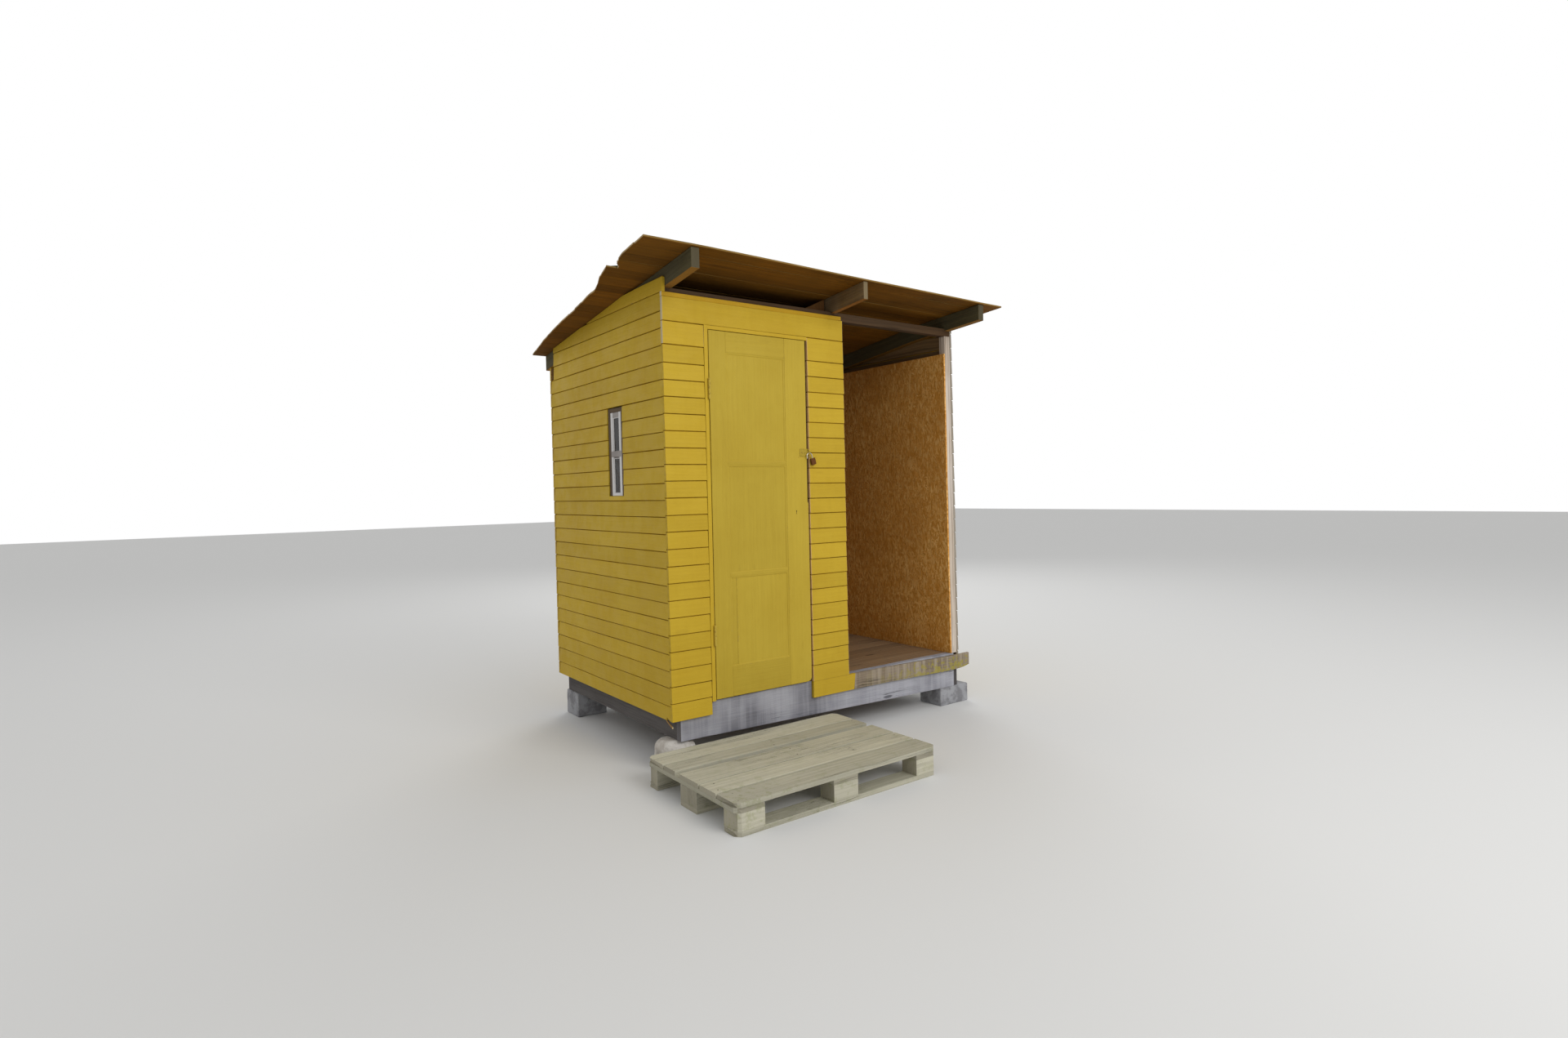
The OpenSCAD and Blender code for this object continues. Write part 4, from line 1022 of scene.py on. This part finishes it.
stile_boxes = [(leaf_left, 0, leaf_foot, panel_left - 0.15, leaf_thick, leaf_top),
               (panel_right + 0.15, 0, leaf_foot, leaf_right, leaf_thick, leaf_top)]
rail_edges = [leaf_foot, *np.ravel(panel_rows), leaf_top]
rail_boxes = [(panel_left, rail_inset, foot, panel_right, leaf_thick - rail_inset, top)
              for foot, top in zip(rail_edges[::2], rail_edges[1::2])]
make_piece("door_frame", [planks(stile_boxes, "z", "-y", ease=1.4, wave=0.25, spacing=120,
                                 steps=[-28, -18, -8], marks=[3, 8, 14, 20, 28, 1015, 1020, 1027],
                                 warp=rubbed_corner),
                          planks(rail_boxes, "x", "-y", ease=1.4, wave=0.1, spacing=120)],
           door_yellow, ["door_leaf"], "door")
panel_boxes = []
for foot, top in panel_rows:
    joint = [panel_left + 38] if not panel_boxes else []
    panel_boxes += [(left + 0.2, panel_face - 4, foot + 0.2, right - 0.2, 21, top - 0.2)
                    for left, right in zip([panel_left, *joint], [*joint, panel_right])]
make_piece("door_panels", [planks(panel_boxes, "z", "-y", ease=1.2, spacing=90)]
           + [bead((panel_left, foot), (panel_right, top), (0, 2), 1.5, 3.5, 9.0, 6, True)
              for foot, top in panel_rows], door_yellow, body="door")


# The hinges
# Two loose-pin hinges, each a barrel pair on a steel pin, were screwed on before the door was last painted,
# so they carry the door's yellow with rust at their ends.
def metal_material(name, colour, under, metal, roughness, worn_share, scale=90.0):
    """Metal with a coat or tarnish: the under colour shows where noise has rubbed or rusted the coat
    away."""
    material, shader, place, grime = new_material(name)
    rub = noise(place, scale, 4.0, 0.7)
    bare = times(ramped(rub, 0.5, 0.62), worn_share)
    fine = noise(place, scale * 6, 2.0, 0.6)
    coat = mixed(ramped(fine, 0.3, 0.8, 0.0, 0.35), colour, dimmed(colour, 0.75))
    shader["Metallic"].default_value = metal
    finish(shader, mixed(bare, coat, under), maths("MULTIPLY_ADD", bare, 0.3, roughness),
           maths("MULTIPLY_ADD", rub, 0.6, times(fine, 0.4)), 0.0006)
    return material


def finish_node(name, material):
    """Gives a CAD node that keeps its own shape this material."""
    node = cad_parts[name]
    for place in node.material_slots:
        place.material = material
    if not node.material_slots:
        node.data.materials.append(material)


hinge_yellow = metal_material("hinge_yellow", (196, 170, 66), (112, 70, 36), 0.0, 0.45, 0.5)
finish_node("hinge_barrels", hinge_yellow)
finish_node("hinge_pins", hinge_yellow)

# The hasp and the padlock
# A small hasp plate with a staple is screwed to the door's edge, painted over and rusting, and an open
# padlock with a bright bow and a brown lacquered case hangs in it, tilted.
hasp_paint = metal_material("hasp_paint", (178, 152, 50), (110, 80, 40), 0.0, 0.5, 0.45)
finish_node("door_hasp", hasp_paint)
lock_steel = metal_material("lock_steel", (206, 200, 184), (120, 108, 92), 1.0, 0.25, 0.5, 160.0)
finish_node("padlock_bow", lock_steel)
lock_brown = metal_material("lock_brown", (104, 62, 22), (66, 42, 20), 0.0, 0.4, 0.5, 140.0)
case_middle = np.array([937.6, -12.4, 1601.0])
case_tilt = np.radians(15)


def tilted_case(points):
    """Turns the lock's case about its middle, its foot to the right."""
    x, y, z = (points - case_middle).T
    return case_middle + np.stack([x * np.cos(case_tilt) - z * np.sin(case_tilt), y,
                                   x * np.sin(case_tilt) + z * np.cos(case_tilt)], axis=-1)


case_box = [(case_middle[0] - 16, -18.9, case_middle[2] - 19, case_middle[0] + 16, -5.9, case_middle[2] + 19)]
board_piece("padlock_case", "z", "-y", lock_brown, "lock_brown", boxes=case_box, body="door", ease=3.2,
            wave=0, spacing=6, ends=2.4, marks=[5, -5], warp=tilted_case)
screw_places = [(850, -0.2, 1647), (843, -0.2, 1624), (882, -2.6, 1649), (861, -2.6, 1636), (861, -2.6, 1664)]
make_piece("hasp_screws", dome_parts(screw_places, (0, -1, 0), 3.4, 1.3),
           hasp_paint, (), "door", smooth=True)
# The keyhole is a dark slot and dot: painted shade standing for the dark inside of the hole.
keyhole_shade_dark = metal_material("keyhole_shade_dark", (40, 28, 16), (62, 42, 22), 0.0, 0.7, 0.4)
make_piece("keyhole", [planks([(819.4, -0.3, 1304, 822.6, 4, 1321)], "z", "-y", ease=1.2, wave=0, ends=1.5)]
           + dome_parts([(821, -0.1, 1322)], (0, -1, 0), 3.2, 0.3, rings=1),
           keyhole_shade_dark, (), "door")

# The roof boards
# Rough boards lie side by side over the rafters from left to right. They are orange-brown where the weather
# hasn't reached them, and their left ends were never cut in line.
# The pale cream end grain stands partly for board ends lit by the sun, a painted highlight, and the paler
# front edges partly for lit lips, also a painted highlight; both are bare wood too.
roof_brown = timber_material("roof_brown", (124, 80, 16), (80, 50, 6), (94, 62, 12), (184, 162, 122),
                             streaks=0.4, clouds=0.7, raw_face=(138, 112, 62), tones=(0.72, 1.2))
left_edge_places = (-275, -49, 63, 85, 119.4, 119.6, 178, 270, 328, 456, 524, 679, 950, 1375, 1550, 1670)
left_edge_at = (-239, -234, -215, -190, -182, -239, -225, -212, -192, -160, -166, -150, -138, -108, -82, -66)
roof_left, roof_right, roof_front, roof_back = -240.0, 2296, -275, 1670
board_thick = 9.6


def torn_edge(points):
    """Pulls the boards' left ends back to the worn outline, each point by its share of the way to the right
    end, then lets the boards down with the roof."""
    outline = np.interp(points[:, 1], left_edge_places, left_edge_at)
    points[:, 0] += (outline - roof_left) * (roof_right - points[:, 0]) / (roof_right - roof_left)
    points[:, 1] = np.clip(points[:, 1], roof_front + 0.2, roof_back - 0.2)
    return sloped(points)


roof_rows = rows_across((roof_left, roof_front, roof_at_front, roof_right, roof_back,
                         roof_at_front + board_thick), (96, 104, 92, 103, 109, 112, 94, 121), 1.2)
lift = draws.uniform(0, 2.5, len(roof_rows))
roof_rows = [(roof_left + draws.uniform(0, 6), box[1], box[2] + up, roof_right - draws.uniform(0, 14), box[4],
              box[5] + up) for box, up in zip(roof_rows, lift)]
board_piece("roof_boards", "x", "+z", roof_brown, "roof_wood", boxes=roof_rows, ease=1.6, wave=0.8,
            spacing=90, bare=("foot",), steps=[9, 18, 28, 40, 55, 70], warp=torn_edge)


# The roof felt
# Tarred felt with a mineral face is nailed over the boards in strips that lap down the slope. Its left edge
# is torn, and its front edge stops short of the boards' ends.
def felt_material():
    """Dark green-black felt: mineral grains, faded clouds, and pale scuffs."""
    material, shader, place, grime = new_material("roof_felt")
    grains = noise(place, 900.0, 2.0, 0.7)
    body = mixed(grime["Clouds"], (44, 52, 42), (66, 74, 62))
    body = mixed(ramped(grains, 0.5, 0.75, 0.0, 0.7), body, (104, 110, 100))
    body = mixed(times(times(grime["Patches"], grime["Clouds"]), 0.5), body, (74, 84, 42))
    finish(shader, body, 0.92, maths("MULTIPLY_ADD", grains, 0.6, grime["Patches"]), 0.0015)
    return material


felt_thick, felt_lift = 2.6, 12.4


def felt_strip(front, back, seed):
    """One strip of felt as a closed sheet: top and underside are the roof's plane lifted by a slight swell,
    and the left and right edges wander with sums of sine waves."""
    across = np.linspace(front, back, 30)
    line = across[:, None] * [1, 0, 0]
    left = np.interp(across, left_edge_places, left_edge_at) + 14 + lumps(line, 60, seed) * 9
    left = np.maximum(left, roof_left + 13)
    right = roof_right - 18 + lumps(line, 90, seed + 1) * 6
    x = left[:, None] + (right - left)[:, None] * np.linspace(0, 1, 90)
    y = np.broadcast_to(across[:, None], x.shape)
    level = np.stack([x, y, x * 0 + roof_at_front + felt_lift], -1)
    base = sloped(level.reshape(-1, 3))[:, 2].reshape(x.shape)
    swell = np.clip(lumps(np.stack([x, y, x * 0], -1), 420, seed + 2) * 0.5 + 0.5, 0, 1)
    top = np.stack([x, y, base + felt_thick + swell], -1)
    under = np.stack([x, y, base + swell * 0.4], -1)
    ring = np.concatenate([top, under[:, ::-1]], axis=1)
    ends = [(ring[row] + ring[row, ::-1]) / 2 for row in (0, -1)]
    return grid_part(np.concatenate([ends[:1], ring, ends[1:]]), closed_across=True)


felt_rows = [(-254.0, 560.0), (500.0, 1130.0), (1075.0, 1649.0)]
felt_parts = [felt_strip(front, back, 60 + number) for number, (front, back) in enumerate(felt_rows)]
make_piece("roof_felt", felt_parts, felt_material())

# The step
# A timber stand of pallet form lies in front of the door: five deck boards on three cross boards, nine
# blocks and three runners, nailed, with the corners cut off. It has weathered grey-green.
pallet_grey = timber_material("pallet_grey", (198, 194, 174), (160, 156, 136), (176, 172, 156),
                              (160, 154, 136), clouds=0.5, growth=(140, 144, 96), growth_share=0.4)
step_left, step_right, step_front, step_back, corner_cut = -165.0, 1035.0, -835.0, -35.0, 25.0


def corners_off(points):
    """Cuts the step's four corners: points past the slanting line move back onto it along both axes alike.
    What has bowed past the front or the floor comes back too."""
    points[:, 1:] = np.maximum(points[:, 1:], (step_front, 0.0))
    in_x = np.minimum(points[:, 0] - step_left, step_right - points[:, 0])
    in_y = np.minimum(points[:, 1] - step_front, step_back - points[:, 1])
    short = np.clip(corner_cut - in_x - in_y, 0, None) / 2
    points[:, 0] += np.where(points[:, 0] < (step_left + step_right) / 2, short, -short)
    points[:, 1] += np.where(points[:, 1] < (step_front + step_back) / 2, short, -short)
    return points


def step_timbers(name, along, face, **shape):
    """A piece of the step, with extra rings near its ends to take the cut corners."""
    board_piece(name, along, face, pallet_grey, "pallet_wood", warp=corners_off,
                marks=[5, 10, 15, 20, 25, -25, -20, -15, -10, -5], **shape)


step_cuts = [6, 12, 18, 25, -25, -18, -12, -6]
step_timbers("step_deck", "x", "+z", ease=2.5, wave=0.8, spacing=60, steps=step_cuts)
nail_grey = metal_material("nail_grey", (104, 98, 88), (84, 60, 40), 0.6, 0.6, 0.6)
nail_spots = [(x + shift, (box[1] + box[4]) / 2 + side * (box[4] - box[1]) * 0.28, box[5] - 0.4)
              for box in solids("step_deck") for x in (-120, 435, 990)
              for side, shift in ((-1, -14), (1, 12))]
make_piece("step_nails", dome_parts(nail_spots, (0, 0, 1), 4.2, 0.9, rings=1, around=8),
           nail_grey, ())
step_timbers("step_cross_boards", "y", "+z", ease=2, steps=step_cuts)
step_timbers("step_blocks", "x", "-y", ease=2, wave=0.3, steps=step_cuts[4:])
step_timbers("step_runners", "x", "+z", ease=2, spacing=80, steps=step_cuts)
